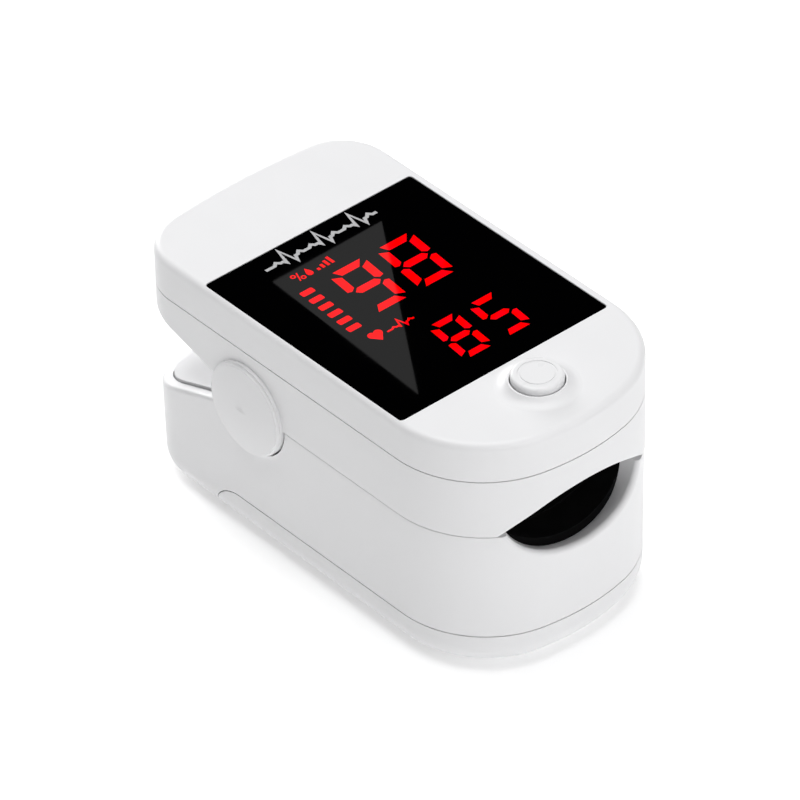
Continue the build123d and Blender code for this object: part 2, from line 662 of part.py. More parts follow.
with BuildPart() as upper_finger_pad:
    with BuildSketch(Plane.XZ.offset(-FINGER_STOP_Y)):
        with Locations((0, UPPER_MOUTH_Z)):
            Circle(UPPER_MOUTH_RADIUS + PAD_THICKNESS)
            Circle(UPPER_MOUTH_RADIUS, mode=Mode.SUBTRACT)
    extrude(amount=FAR)
    for rib_y in RIB_PLACES:
        add(pad_ribs(UPPER_MOUTH_Z, UPPER_MOUTH_RADIUS + 0.01, 1, rib_y))
    with BuildSketch(Plane.XY.offset(UPPER_PAD_LOW_Z)):
        add(case_outline(MOUTH_WALL + WINDOW_GAP))
        with Locations((0, FINGER_STOP_Y - WINDOW_GAP)):
            Rectangle(FAR, FAR, align=(Align.CENTER, Align.MAX), mode=Mode.INTERSECT)
    extrude(amount=HEIGHT, mode=Mode.INTERSECT)
    with BuildSketch(Plane.XY.offset(JAW_TOP_Z)):
        with Locations((0, SENSOR_Y)):
            RectangleRounded(PAD_HOLE_WIDTH, PAD_HOLE_LENGTH, PAD_HOLE_CORNER)
    extrude(amount=HEIGHT, mode=Mode.SUBTRACT)
upper_finger_pad.part.label = "upper_finger_pad"
export_step(upper_finger_pad.part, "parts/upper_finger_pad.step")

with BuildPart() as lower_finger_pad:
    with BuildSketch(Plane.XZ.offset(-FINGER_STOP_Y)):
        with Locations((0, LOWER_MOUTH_Z)):
            Circle(LOWER_MOUTH_RADIUS + PAD_THICKNESS)
            Circle(LOWER_MOUTH_RADIUS, mode=Mode.SUBTRACT)
    extrude(amount=FAR)
    for rib_y in RIB_PLACES:
        add(pad_ribs(LOWER_MOUTH_Z, LOWER_MOUTH_RADIUS + 0.01, -1, rib_y))
    with BuildSketch():
        add(case_outline(MOUTH_WALL + WINDOW_GAP))
        with Locations((0, FINGER_STOP_Y - WINDOW_GAP)):
            Rectangle(FAR, FAR, align=(Align.CENTER, Align.MAX), mode=Mode.INTERSECT)
    extrude(amount=LOWER_PAD_HIGH_Z, mode=Mode.INTERSECT)
    # A flange turns down behind the housing's front wall and closes the mouth below the trough.
    with BuildSketch(Plane.XY.offset(PAD_FLANGE_LOW_Z)):
        add(case_outline(MOUTH_WALL + WINDOW_GAP))
        add(case_outline(MOUTH_WALL + WINDOW_GAP + PAD_FLANGE_THICKNESS), mode=Mode.SUBTRACT)
        Rectangle(
            2 * PAD_FLANGE_HALF_WIDTH, FAR, align=(Align.CENTER, Align.MAX), mode=Mode.INTERSECT
        )
    extrude(amount=LOWER_PAD_HIGH_Z - PAD_FLANGE_LOW_Z)
    with BuildSketch(Plane.XZ.offset(-RIB_PLACES[0] + RIB_WIDTH)):
        with Locations((0, LOWER_MOUTH_Z)):
            Circle(LOWER_MOUTH_RADIUS)
    extrude(amount=FAR, mode=Mode.SUBTRACT)
    with BuildSketch():
        with Locations((0, SENSOR_Y)):
            RectangleRounded(PAD_HOLE_WIDTH, PAD_HOLE_LENGTH, PAD_HOLE_CORNER)
    extrude(amount=BED_TOP_Z, mode=Mode.SUBTRACT)
lower_finger_pad.part.label = "lower_finger_pad"
export_step(lower_finger_pad.part, "parts/lower_finger_pad.step")


# ---------------------------------------------------------------- light emitter and detector
EMITTER_LOW_Z = UPPER_MOUTH_Z + UPPER_MOUTH_RADIUS + 0.2
DETECTOR_HIGH_Z = LOWER_MOUTH_Z - LOWER_MOUTH_RADIUS - 0.2

with BuildPart() as led_emitter:
    with BuildSketch(Plane.XY.offset(EMITTER_LOW_Z + 0.5)):
        with Locations((0, SENSOR_Y)):
            RectangleRounded(4.2, 3.4, 0.3)
    extrude(amount=CAVITY_FLOOR_Z - EMITTER_LOW_Z - 0.4)
    with BuildSketch(Plane.XY.offset(EMITTER_LOW_Z)):
        with Locations((-0.8, SENSOR_Y), (0.8, SENSOR_Y)):
            Circle(0.6)
    extrude(amount=0.6)
led_emitter.part.label = "led_emitter"
export_step(led_emitter.part, "parts/led_emitter.step")

with BuildPart() as photodetector:
    with BuildSketch(Plane.XY.offset(BED_UNDER_Z)):
        with Locations((0, SENSOR_Y)):
            RectangleRounded(4.2, 3.4, 0.3)
    extrude(amount=DETECTOR_HIGH_Z - BED_UNDER_Z)
    with BuildSketch(Plane.XY.offset(DETECTOR_HIGH_Z)):
        with Locations((0, SENSOR_Y)):
            Rectangle(2.8, 2.2)
    extrude(amount=-0.2, mode=Mode.SUBTRACT)
photodetector.part.label = "photodetector"
export_step(photodetector.part, "parts/photodetector.step")

with BuildPart() as detector_board:
    with BuildSketch(Plane.XY.offset(BED_UNDER_Z - 0.8)):
        with Locations((0, SENSOR_Y)):
            RectangleRounded(6.4, 11.0, 0.8)
        with Locations((0, SENSOR_Y - 4.3), (0, SENSOR_Y + 4.3)):
            Circle(0.5, mode=Mode.SUBTRACT)
    extrude(amount=0.8)
detector_board.part.label = "detector_board"
export_step(detector_board.part, "parts/detector_board.step")

# The ribbon leaves the detector board, turns up through the hinge axis and ends at the
# circuit board.
FLEX_LOW_Z = BED_UNDER_Z - 0.4
FLEX_BEND = 1.3
FLEX_START_Y = SENSOR_Y + 5.5 + FLEX_THICKNESS / 2
FLEX_HIGH_Z = PCB_Z - FLEX_THICKNESS / 2

with BuildPart() as sensor_flex:
    with BuildSketch(Plane.YZ.offset(-FLEX_WIDTH / 2)):
        with BuildLine() as flex_path:
            FilletPolyline(
                (FLEX_START_Y, FLEX_LOW_Z), (HINGE_Y, FLEX_LOW_Z), (HINGE_Y, FLEX_HIGH_Z),
                radius=FLEX_BEND,
            )
            offset(amount=FLEX_THICKNESS / 2, side=Side.BOTH, closed=True)
        make_face()
    extrude(amount=FLEX_WIDTH)
sensor_flex.part.label = "sensor_flex"
export_step(sensor_flex.part, "parts/sensor_flex.step")


# ---------------------------------------------------------------- hinge pins and springs
with BuildPart() as hinge_pins:
    for side in (-1, 1):
        with BuildSketch(Plane.YZ.offset(side * PIN_INNER_X)):
            with Locations((HINGE_Y, HINGE_Z)):
                Circle(PIN_RADIUS)
        extrude(amount=side * (PIN_OUTER_X - PIN_INNER_X))
hinge_pins.part.label = "hinge_pins"
export_step(hinge_pins.part, "parts/hinge_pins.step")


# Each spring is a coil round one pin, with two straight legs that push the rear ends of the
# jaws apart.  The legs leave the coil along its tangents.
SPRING_PITCH = 2 * SPRING_WIRE + 0.12
SPRING_WRAP = 360 * SPRING_TURNS - (90 - LOWER_LEG_ANGLE) - (90 - UPPER_LEG_ANGLE)
SPRING_ROOT = radians(90 - LOWER_LEG_ANGLE)

spring_frame = Plane(
    origin=(SPRING_INNER_X, HINGE_Y, HINGE_Z),
    x_dir=(0, cos(SPRING_ROOT), sin(SPRING_ROOT)),
    z_dir=(1, 0, 0),
)
coil_path = spring_frame.location * Helix(
    SPRING_PITCH, SPRING_PITCH * SPRING_WRAP / 360, SPRING_RADIUS
)

with BuildPart() as torsion_spring_right:
    with BuildLine() as spring_path:
        Line(coil_path @ 0 - coil_path % 0 * SPRING_LEG, coil_path @ 0)
        add(coil_path)
        Line(coil_path @ 1, coil_path @ 1 + coil_path % 1 * SPRING_LEG)
    with BuildSketch(Plane(origin=spring_path.line @ 0, z_dir=spring_path.line % 0)):
        Circle(SPRING_WIRE)
    sweep(is_frenet=True)
torsion_spring_right.part.label = "torsion_spring_right"
export_step(torsion_spring_right.part, "parts/torsion_spring_right.step")

with BuildPart() as torsion_spring_left:
    mirror(torsion_spring_right.part, about=Plane.YZ)
torsion_spring_left.part.label = "torsion_spring_left"
export_step(torsion_spring_left.part, "parts/torsion_spring_left.step")


# ---------------------------------------------------------------- screws
def screw_group(places, top_down, shaft_length):
    """Pan-head screws with cross recesses, as one group of separate solids."""
    way = -1 if top_down else 1
    with BuildPart() as group:
        for x, y, head_z in places:
            head_start = head_z + SCREW_HEAD_HEIGHT if top_down else head_z
            head_plane = Plane.XY.offset(head_start)
            with BuildSketch(head_plane):
                with Locations(*both_sides([(x, y)])):
                    Circle(SCREW_HEAD_RADIUS)
            extrude(amount=way * SCREW_HEAD_HEIGHT)
            with BuildSketch(Plane.XY.offset(head_start + way * SCREW_HEAD_HEIGHT)):
                with Locations(*both_sides([(x, y)])):
                    Circle(SCREW_RADIUS)
            extrude(amount=way * shaft_length)
            with BuildSketch(head_plane):
                with Locations(*both_sides([(x, y)])):
                    Rectangle(SCREW_CROSS_LENGTH, SCREW_CROSS_WIDTH)
                    Rectangle(SCREW_CROSS_WIDTH, SCREW_CROSS_LENGTH)
            extrude(amount=way * SCREW_CROSS_DEPTH, mode=Mode.SUBTRACT)
    return group.part


case_screws = screw_group(CASE_SCREWS, top_down=False, shaft_length=4.8)
case_screws.label = "case_screws"
export_step(case_screws, "parts/case_screws.step")
bed_screws = screw_group(BED_SCREWS, top_down=True, shaft_length=6.0)
bed_screws.label = "bed_screws"
export_step(bed_screws, "parts/bed_screws.step")


# ---------------------------------------------------------------- lower housing
RAIL_LOW_Z = 3.1
RAIL_INNER_X = 12.2
RAIL_OUTER_X = 12.95
RAIL_LIP_X = 13.6
RAIL_LIP_HEIGHT = 0.6
RAIL_HIGH_Z = 6.0
RAIL_LENGTH = 26.0
RAIL_MIDDLE_Y = 1.0
SHELF_OUTER_X = 14.5
SHELF_THICKNESS = 1.0
BED_BOSS_WALL = 0.6
CAVITY_STEP_Y = -18.0

with BuildPart() as mouth_funnel:
    for section_y, half_width, low_z in FUNNEL_SECTIONS:
        with BuildSketch(Plane.XZ.offset(-section_y)):
            with BuildLine():
                ThreePointArc(
                    (-half_width, JAW_BOTTOM_Z), (0, low_z), (half_width, JAW_BOTTOM_Z)
                )
                Polyline(
                    (half_width, JAW_BOTTOM_Z), (half_width, HEIGHT), (-half_width, HEIGHT),
                    (-half_width, JAW_BOTTOM_Z),
                )
            make_face()
    loft(ruled=True)

with BuildPart() as lower_housing:
    add(base_shell.part)
    with BuildSketch(Plane.YZ):
        add(door_profile(SEAM))
    extrude(amount=FAR, both=True, mode=Mode.SUBTRACT)
    with BuildSketch(Plane.XY.offset(DOOR_SEAM_Z + SEAM)):
        add(case_outline(BASE_INSET))
    extrude(amount=JAW_BOTTOM_Z - DOOR_SEAM_Z - SEAM, taper=-LOWER_DRAFT)
    # The rear of the rim slopes down.
    with BuildSketch(Plane.YZ):
        with BuildLine():
            drop = (FAR - HINGE_Y) * tan(radians(LOWER_SLOPE))
            Polyline(
                (HINGE_Y, JAW_BOTTOM_Z), (FAR, JAW_BOTTOM_Z - drop), (FAR, HEIGHT),
                (HINGE_Y, HEIGHT), close=True,
            )
        make_face()
    extrude(amount=FAR, both=True, mode=Mode.SUBTRACT)
    rim = lower_housing.faces().filter_by(
        lambda face: face.center().Y > HINGE_Y and face.normal_at().Z > 0.9
    ).sort_by(Axis.Z)[-1]
    fillet(rim.edges().filter_by(lambda edge: edge.center().Y > HINGE_Y + 1), RIM_RADIUS)
    # The finger's mouth is a funnel with a soft outer edge.
    add(mouth_funnel.part, mode=Mode.SUBTRACT)
    mouth_edges = lower_housing.edges().filter_by(
        lambda edge: edge.center().Y < MOUTH_WALL - LENGTH / 2 and abs(edge.center().X) < 12
        and 13 < edge.center().Z < JAW_BOTTOM_Z - RIM_RADIUS and edge.length > 2
    )
    fillet(mouth_edges, MOUTH_EDGE_RADIUS)
    # Inside: open from the bed down to the battery bay.
    with BuildSketch(Plane.XY.offset(DOOR_SEAM_Z - OVERSHOOT)):
        add(stepped_outline(HOUSING_CAVITY_INSET, MOUTH_WALL, CAVITY_STEP_Y))
    extrude(amount=HEIGHT, mode=Mode.SUBTRACT)
    # The battery bay's side and end walls.
    with BuildSketch(Plane.XY.offset(DOOR_SEAM_Z + SEAM)):
        with Locations((0, (BAY_FRONT_Y + BAY_REAR_Y) / 2)):
            Rectangle(2 * (BAY_HALF_WIDTH + BAY_WALL), BAY_REAR_Y - BAY_FRONT_Y + 2 * BAY_WALL)
            Rectangle(2 * BAY_HALF_WIDTH, BAY_REAR_Y - BAY_FRONT_Y, mode=Mode.SUBTRACT)
        add(case_outline(WALL - 0.4), mode=Mode.INTERSECT)
    extrude(amount=BAY_TOP_Z - DOOR_SEAM_Z - SEAM)
    # Shelves join the bay to the case wall, and carry the rails that hold the door.
    for side in (-1, 1):
        with BuildSketch(Plane.XY.offset(DOOR_SEAM_Z + SEAM)):
            with Locations((side * (BAY_HALF_WIDTH + SHELF_OUTER_X) / 2, RAIL_MIDDLE_Y)):
                Rectangle(SHELF_OUTER_X - BAY_HALF_WIDTH, RAIL_LENGTH)
        extrude(amount=SHELF_THICKNESS)
        with BuildSketch(Plane.XZ.offset(-RAIL_MIDDLE_Y - RAIL_LENGTH / 2)):
            with BuildLine():
                Polyline(
                    (side * RAIL_INNER_X, RAIL_HIGH_Z),
                    (side * RAIL_INNER_X, RAIL_LOW_Z),
                    (side * RAIL_LIP_X, RAIL_LOW_Z),
                    (side * RAIL_LIP_X, RAIL_LOW_Z + RAIL_LIP_HEIGHT),
                    (side * RAIL_OUTER_X, RAIL_LOW_Z + RAIL_LIP_HEIGHT),
                    (side * RAIL_OUTER_X, RAIL_HIGH_Z),
                    close=True,
                )
            make_face()
        extrude(amount=RAIL_LENGTH)
    # Bosses for the bed's screws.
    with BuildSketch(Plane.XY.offset(BED_BOSS_LOW_Z)):
        with Locations(*both_sides([(x, y) for x, y, z in BED_SCREWS])):
            Circle(SCREW_RADIUS + BED_BOSS_WALL)
    extrude(amount=BED_BOSS_HIGH_Z - BED_BOSS_LOW_Z)
    with BuildSketch(Plane.XY.offset(BED_BOSS_LOW_Z)):
        with Locations(*both_sides([(x, y) for x, y, z in BED_SCREWS])):
            Circle(SCREW_RADIUS + WINDOW_GAP)
    extrude(amount=BED_TOP_Z, mode=Mode.SUBTRACT)
    # Round recesses clear the hinge ears.
    for side in (-1, 1):
        with BuildSketch(Plane.YZ.offset(side * EAR_RECESS_X)):
            with Locations((HINGE_Y, HINGE_Z)):
                Circle(EAR_RECESS_RADIUS)
        extrude(amount=side * FAR, mode=Mode.SUBTRACT)
lower_housing.part.label = "lower_housing"
export_step(lower_housing.part, "parts/lower_housing.step")


# ---------------------------------------------------------------- finger bed
BED_GAP = 0.4
BED_SKIRT_Z = BED_UNDER_Z - 2.2
BED_FRONT_INSET = MOUTH_WALL + 1.05
BED_HOLLOW_FRONT_Y = -22.5
TROUGH_WALL = 1.0
PANEL_START_Y = HINGE_Y + 4.0
PANEL_THICKNESS = 1.0
HOLLOW_LOW_Z = BED_UNDER_Z - 3.0
HOLLOW_REAR_Y = FINGER_STOP_Y + 1.2
LUG_ROOT_Z = BED_TOP_Z - 3.4

with BuildPart() as finger_bed:
    with BuildSketch(Plane.XY.offset(BED_SKIRT_Z)):
        add(stepped_outline(BED_INSET, BED_FRONT_INSET, CAVITY_STEP_Y + BED_GAP))
    extrude(amount=BED_TOP_Z - BED_SKIRT_Z)
    # The rear panel slopes down with the housing's rim and stands a little proud of it.
    slope = tan(radians(LOWER_SLOPE))
    with BuildSketch(Plane.YZ):
        with BuildLine():
            Polyline(
                (HINGE_Y - BED_GAP, BED_TOP_Z),
                (PANEL_START_Y, BED_TOP_Z - (PANEL_START_Y - HINGE_Y) * slope),
                (PANEL_START_Y + 1, BED_TOP_Z + PANEL_RISE - (PANEL_START_Y + 1 - HINGE_Y) * slope),
                (FAR, BED_TOP_Z + PANEL_RISE - (FAR - HINGE_Y) * slope),
                (FAR, HEIGHT),
                (HINGE_Y - BED_GAP, HEIGHT),
                close=True,
            )
        make_face()
    extrude(amount=FAR, both=True, mode=Mode.SUBTRACT)
    # Hollow underneath, parallel to the panel behind and to the trough in front.
    with BuildSketch(Plane.YZ):
        with BuildLine():
            Polyline(
                (HOLLOW_REAR_Y, HOLLOW_LOW_Z),
                (HOLLOW_REAR_Y, BED_TOP_Z - 2 * PANEL_THICKNESS),
                (HINGE_Y, BED_TOP_Z - 2 * PANEL_THICKNESS),
                (LENGTH / 2, BED_TOP_Z - PANEL_THICKNESS - (LENGTH / 2 - HINGE_Y) * slope),
                (LENGTH / 2, HOLLOW_LOW_Z),
                close=True,
            )
        make_face()
    extrude(amount=BAY_HALF_WIDTH, both=True, mode=Mode.SUBTRACT)
    with BuildSketch(Plane.XZ.offset(-BED_HOLLOW_FRONT_Y)):
        with Locations((0, HOLLOW_LOW_Z)):
            Rectangle(
                2 * BAY_HALF_WIDTH, BED_TOP_Z - 2.3 * PANEL_THICKNESS - HOLLOW_LOW_Z,
                align=(Align.CENTER, Align.MIN),
            )
        with Locations((0, LOWER_MOUTH_Z)):
            Circle(LOWER_MOUTH_RADIUS + PAD_THICKNESS + TROUGH_WALL, mode=Mode.SUBTRACT)
    extrude(amount=BED_HOLLOW_FRONT_Y - FINGER_STOP_Y, mode=Mode.SUBTRACT)
    # The bed stops above the battery bay, and reaches lower only behind it.
    with BuildSketch(Plane.XY.offset(BAY_TOP_Z + SEAM)):
        with Locations((0, BAY_REAR_Y + BAY_WALL + BED_GAP / 2)):
            Rectangle(FAR, 2 * FAR, align=(Align.CENTER, Align.MAX))
    extrude(amount=-HEIGHT, mode=Mode.SUBTRACT)
    add(lower_pocket.part, mode=Mode.SUBTRACT)
    # Lugs carry the hinge pins.
    for side in (-1, 1):
        with BuildSketch(Plane.YZ.offset(side * LUG_INNER_X)):
            with Locations((HINGE_Y, HINGE_Z)):
                Circle(LUG_RADIUS)
            with Locations((HINGE_Y, LUG_ROOT_Z)):
                Rectangle(2 * LUG_RADIUS, HINGE_Z - LUG_ROOT_Z, align=(Align.CENTER, Align.MIN))
        extrude(amount=side * (LUG_OUTER_X - LUG_INNER_X))
        with BuildSketch(Plane.YZ.offset(side * PIN_INNER_X)):
            with Locations((HINGE_Y, HINGE_Z)):
                Circle(PIN_RADIUS + PIN_CLEARANCE)
        extrude(amount=side * FAR, mode=Mode.SUBTRACT)
        # The springs turn in round wells, and the ears in round recesses.
        with BuildSketch(Plane.YZ.offset(side * SPRING_WELL_X)):
            with Locations((HINGE_Y, HINGE_Z)):
                Circle(LUG_RADIUS + LUG_GAP / 2)
        extrude(amount=side * (LUG_INNER_X - SPRING_WELL_X), mode=Mode.SUBTRACT)
        with BuildSketch(Plane.YZ.offset(side * EAR_RECESS_X)):
            with Locations((HINGE_Y, HINGE_Z)):
                Circle(EAR_RECESS_RADIUS)
        extrude(amount=side * FAR, mode=Mode.SUBTRACT)
    # Openings for the detector and the ribbon.
    with BuildSketch(Plane.XY.offset(HOLLOW_LOW_Z)):
        with Locations((0, SENSOR_Y)):
            Rectangle(SENSOR_SLOT_WIDTH, SENSOR_SLOT_LENGTH)
        with Locations((0, HINGE_Y)):
            Rectangle(FLEX_SLOT_WIDTH, FLEX_SLOT_LENGTH)
    extrude(amount=HEIGHT, mode=Mode.SUBTRACT)
    for x, y, head_z in BED_SCREWS:
        with BuildSketch(Plane.XY.offset(head_z)):
            with Locations(*both_sides([(x, y)])):
                Circle(SCREW_HEAD_RADIUS + SCREW_HEAD_GAP)
        extrude(amount=HEIGHT, mode=Mode.SUBTRACT)
        with BuildSketch(Plane.XY.offset(HOLLOW_LOW_Z)):
            with Locations(*both_sides([(x, y)])):
                Circle(SCREW_RADIUS + WINDOW_GAP)
        extrude(amount=HEIGHT, mode=Mode.SUBTRACT)
finger_bed.part.label = "finger_bed"
export_step(finger_bed.part, "parts/finger_bed.step")


# ---------------------------------------------------------------- batteries and contacts
def battery(side):
    """A cell lying along Y, with its raised pole at the rear on the left and in front on the right."""
    pole_way = -side
    with BuildPart() as cell:
        with BuildSketch(Plane.XZ.offset(BATTERY_LENGTH / 2)):
            with Locations((side * BATTERY_X, BATTERY_Z)):
                Circle(BATTERY_RADIUS)
        extrude(amount=-BATTERY_LENGTH)
        fillet(cell.edges().filter_by(GeomType.CIRCLE), 0.35)
        with BuildSketch(Plane.XZ.offset(-pole_way * BATTERY_LENGTH / 2)):
            with Locations((side * BATTERY_X, BATTERY_Z)):
                Circle(NUB_RADIUS)
        extrude(amount=-pole_way * NUB_LENGTH)
    return cell.part


for side, side_name in ((-1, "left"), (1, "right")):
    cell_part = battery(side)
    cell_part.label = f"battery_{side_name}"
    export_step(cell_part, f"parts/battery_{side_name}.step")

CELL_END_Y = BATTERY_LENGTH / 2
PLATE_THICKNESS = 0.3
PLATE_MIDDLE_Z = BATTERY_Z + 1.9
PLATE_WIDTH = 16.8
PLATE_HEIGHT = 5.6
PLATE_CORNER = 1.0
PLATE_BUTTON_RADIUS = 1.5
PLATE_BUTTON_TAPER = 25
CONTACT_COIL_RADIUS = 2.4
CONTACT_COIL_WIRE = 0.22

with BuildPart() as battery_springs:
    for side in (-1, 1):
        start_y = side * (CELL_END_Y + CONTACT_COIL_WIRE + 0.05)
        end_y = BAY_REAR_Y if side > 0 else BAY_FRONT_Y
        run = abs(end_y) - PLATE_THICKNESS - abs(start_y) - CONTACT_COIL_WIRE - 0.05
        frame = Plane(
            origin=(side * BATTERY_X, start_y, BATTERY_Z), x_dir=(0, 0, 1), z_dir=(0, side, 0)
        )
        coil_path = frame.location * Helix(run / 3, run, CONTACT_COIL_RADIUS)
        with BuildLine() as contact_coil:
            add(coil_path)
        with BuildSketch(Plane(origin=contact_coil.line @ 0, z_dir=contact_coil.line % 0)):
            Circle(CONTACT_COIL_WIRE)
        sweep(is_frenet=True)
battery_springs.part.label = "battery_springs"
export_step(battery_springs.part, "parts/battery_springs.step")


def contact_plate(wall_y, inward, pole_x):
    """Sheet-metal strip across one end of the bay, with a raised button for one cell's pole."""
    with BuildPart() as plate:
        with BuildSketch(Plane.XZ.offset(-wall_y)):
            with Locations((0, PLATE_MIDDLE_Z)):
                RectangleRounded(PLATE_WIDTH, PLATE_HEIGHT, PLATE_CORNER)
        extrude(amount=-inward * PLATE_THICKNESS)
        gap = abs(wall_y) - PLATE_THICKNESS - CELL_END_Y - NUB_LENGTH - 0.05
        with BuildSketch(Plane.XZ.offset(-wall_y - inward * PLATE_THICKNESS)):
            with Locations((pole_x, BATTERY_Z)):
                Circle(PLATE_BUTTON_RADIUS)
        extrude(amount=-inward * gap, taper=PLATE_BUTTON_TAPER)
    return plate.part


rear_plate = contact_plate(BAY_REAR_Y, -1, -BATTERY_X)
rear_plate.label = "battery_contact_rear"
export_step(rear_plate, "parts/battery_contact_rear.step")
front_plate = contact_plate(BAY_FRONT_Y, 1, BATTERY_X)
front_plate.label = "battery_contact_front"
export_step(front_plate, "parts/battery_contact_front.step")


# ---------------------------------------------------------------- battery door
GRIP_COUNT = 5
GRIP_START_Y = 2.0
GRIP_PITCH = 1.7
GRIP_LENGTH = 14.0
GRIP_WIDTH = 0.8
GRIP_DEPTH = 0.35
ARROW = [(-2.6, -2.2), (2.6, -2.2), (0.0, -6.2)]
DOOR_RIB_Z = RAIL_LOW_Z + 0.8
DOOR_RIB_X = 13.75
DOOR_RIB_WIDTH = 1.0
DOOR_RIB_HEIGHT = 0.7
DOOR_RIB_LENGTH = 22.0

with BuildPart() as battery_door:
    add(base_shell.part)
    with BuildSketch(Plane.YZ):
        add(door_profile())
    extrude(amount=FAR, both=True, mode=Mode.INTERSECT)
    # Ribs inside the skirts ride over the housing's rails.
    for side in (-1, 1):
        with BuildSketch(Plane.XY.offset(DOOR_RIB_Z)):
            with Locations((side * DOOR_RIB_X, 0)):
                Rectangle(DOOR_RIB_WIDTH, DOOR_RIB_LENGTH)
        extrude(amount=DOOR_RIB_HEIGHT)
    # Grip grooves across the underside, and an arrow that points the way it slides.
    with BuildSketch(Plane.XY):
        for step in range(GRIP_COUNT):
            with Locations((0, GRIP_START_Y + GRIP_PITCH * step)):
                SlotOverall(GRIP_LENGTH, GRIP_WIDTH)
        Polygon(*ARROW, align=None)
    extrude(amount=GRIP_DEPTH, mode=Mode.SUBTRACT)
battery_door.part.label = "battery_door"
export_step(battery_door.part, "parts/battery_door.step")
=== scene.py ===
import json
import math

import bmesh
import bpy
from mathutils import Matrix, Vector


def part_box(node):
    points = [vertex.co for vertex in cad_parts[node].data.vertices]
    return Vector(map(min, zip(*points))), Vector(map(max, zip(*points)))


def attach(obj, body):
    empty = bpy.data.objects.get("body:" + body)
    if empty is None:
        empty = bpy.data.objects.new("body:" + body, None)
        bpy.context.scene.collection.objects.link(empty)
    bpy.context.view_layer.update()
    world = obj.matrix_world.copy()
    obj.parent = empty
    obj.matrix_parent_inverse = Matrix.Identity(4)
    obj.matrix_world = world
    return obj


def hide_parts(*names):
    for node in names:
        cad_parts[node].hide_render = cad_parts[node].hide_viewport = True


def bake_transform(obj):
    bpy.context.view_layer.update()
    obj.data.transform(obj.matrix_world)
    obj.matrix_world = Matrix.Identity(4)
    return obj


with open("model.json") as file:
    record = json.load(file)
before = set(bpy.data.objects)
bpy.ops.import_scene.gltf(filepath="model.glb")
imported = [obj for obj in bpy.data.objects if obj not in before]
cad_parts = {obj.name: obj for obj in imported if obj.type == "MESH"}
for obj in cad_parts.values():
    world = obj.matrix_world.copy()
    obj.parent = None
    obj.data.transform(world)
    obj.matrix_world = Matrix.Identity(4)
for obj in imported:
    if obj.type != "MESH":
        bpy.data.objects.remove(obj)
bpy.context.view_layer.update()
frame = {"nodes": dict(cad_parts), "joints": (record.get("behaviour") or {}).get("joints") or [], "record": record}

# A fingertip pulse oximeter: satin white jaws, a polished black window with lit red marks, and
# what shows of the springs, ribbon and cells.  Lengths are metres, written as so many MM.
MM = 0.001

nodes = frame["nodes"]
hinge = Vector(next(j["pos_m"] for j in frame["joints"] if j["name"] == "jaw_hinge"))
window_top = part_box("display_window")[1].z


# ------------------------------------------------------------------------ materials
# Nearly all of a noise texture's values lie between these two.
NOISE_LOW = 0.3
NOISE_HIGH = 0.7
LIT_STRENGTH = 1.05
FLOOR_GLOW = 0.28


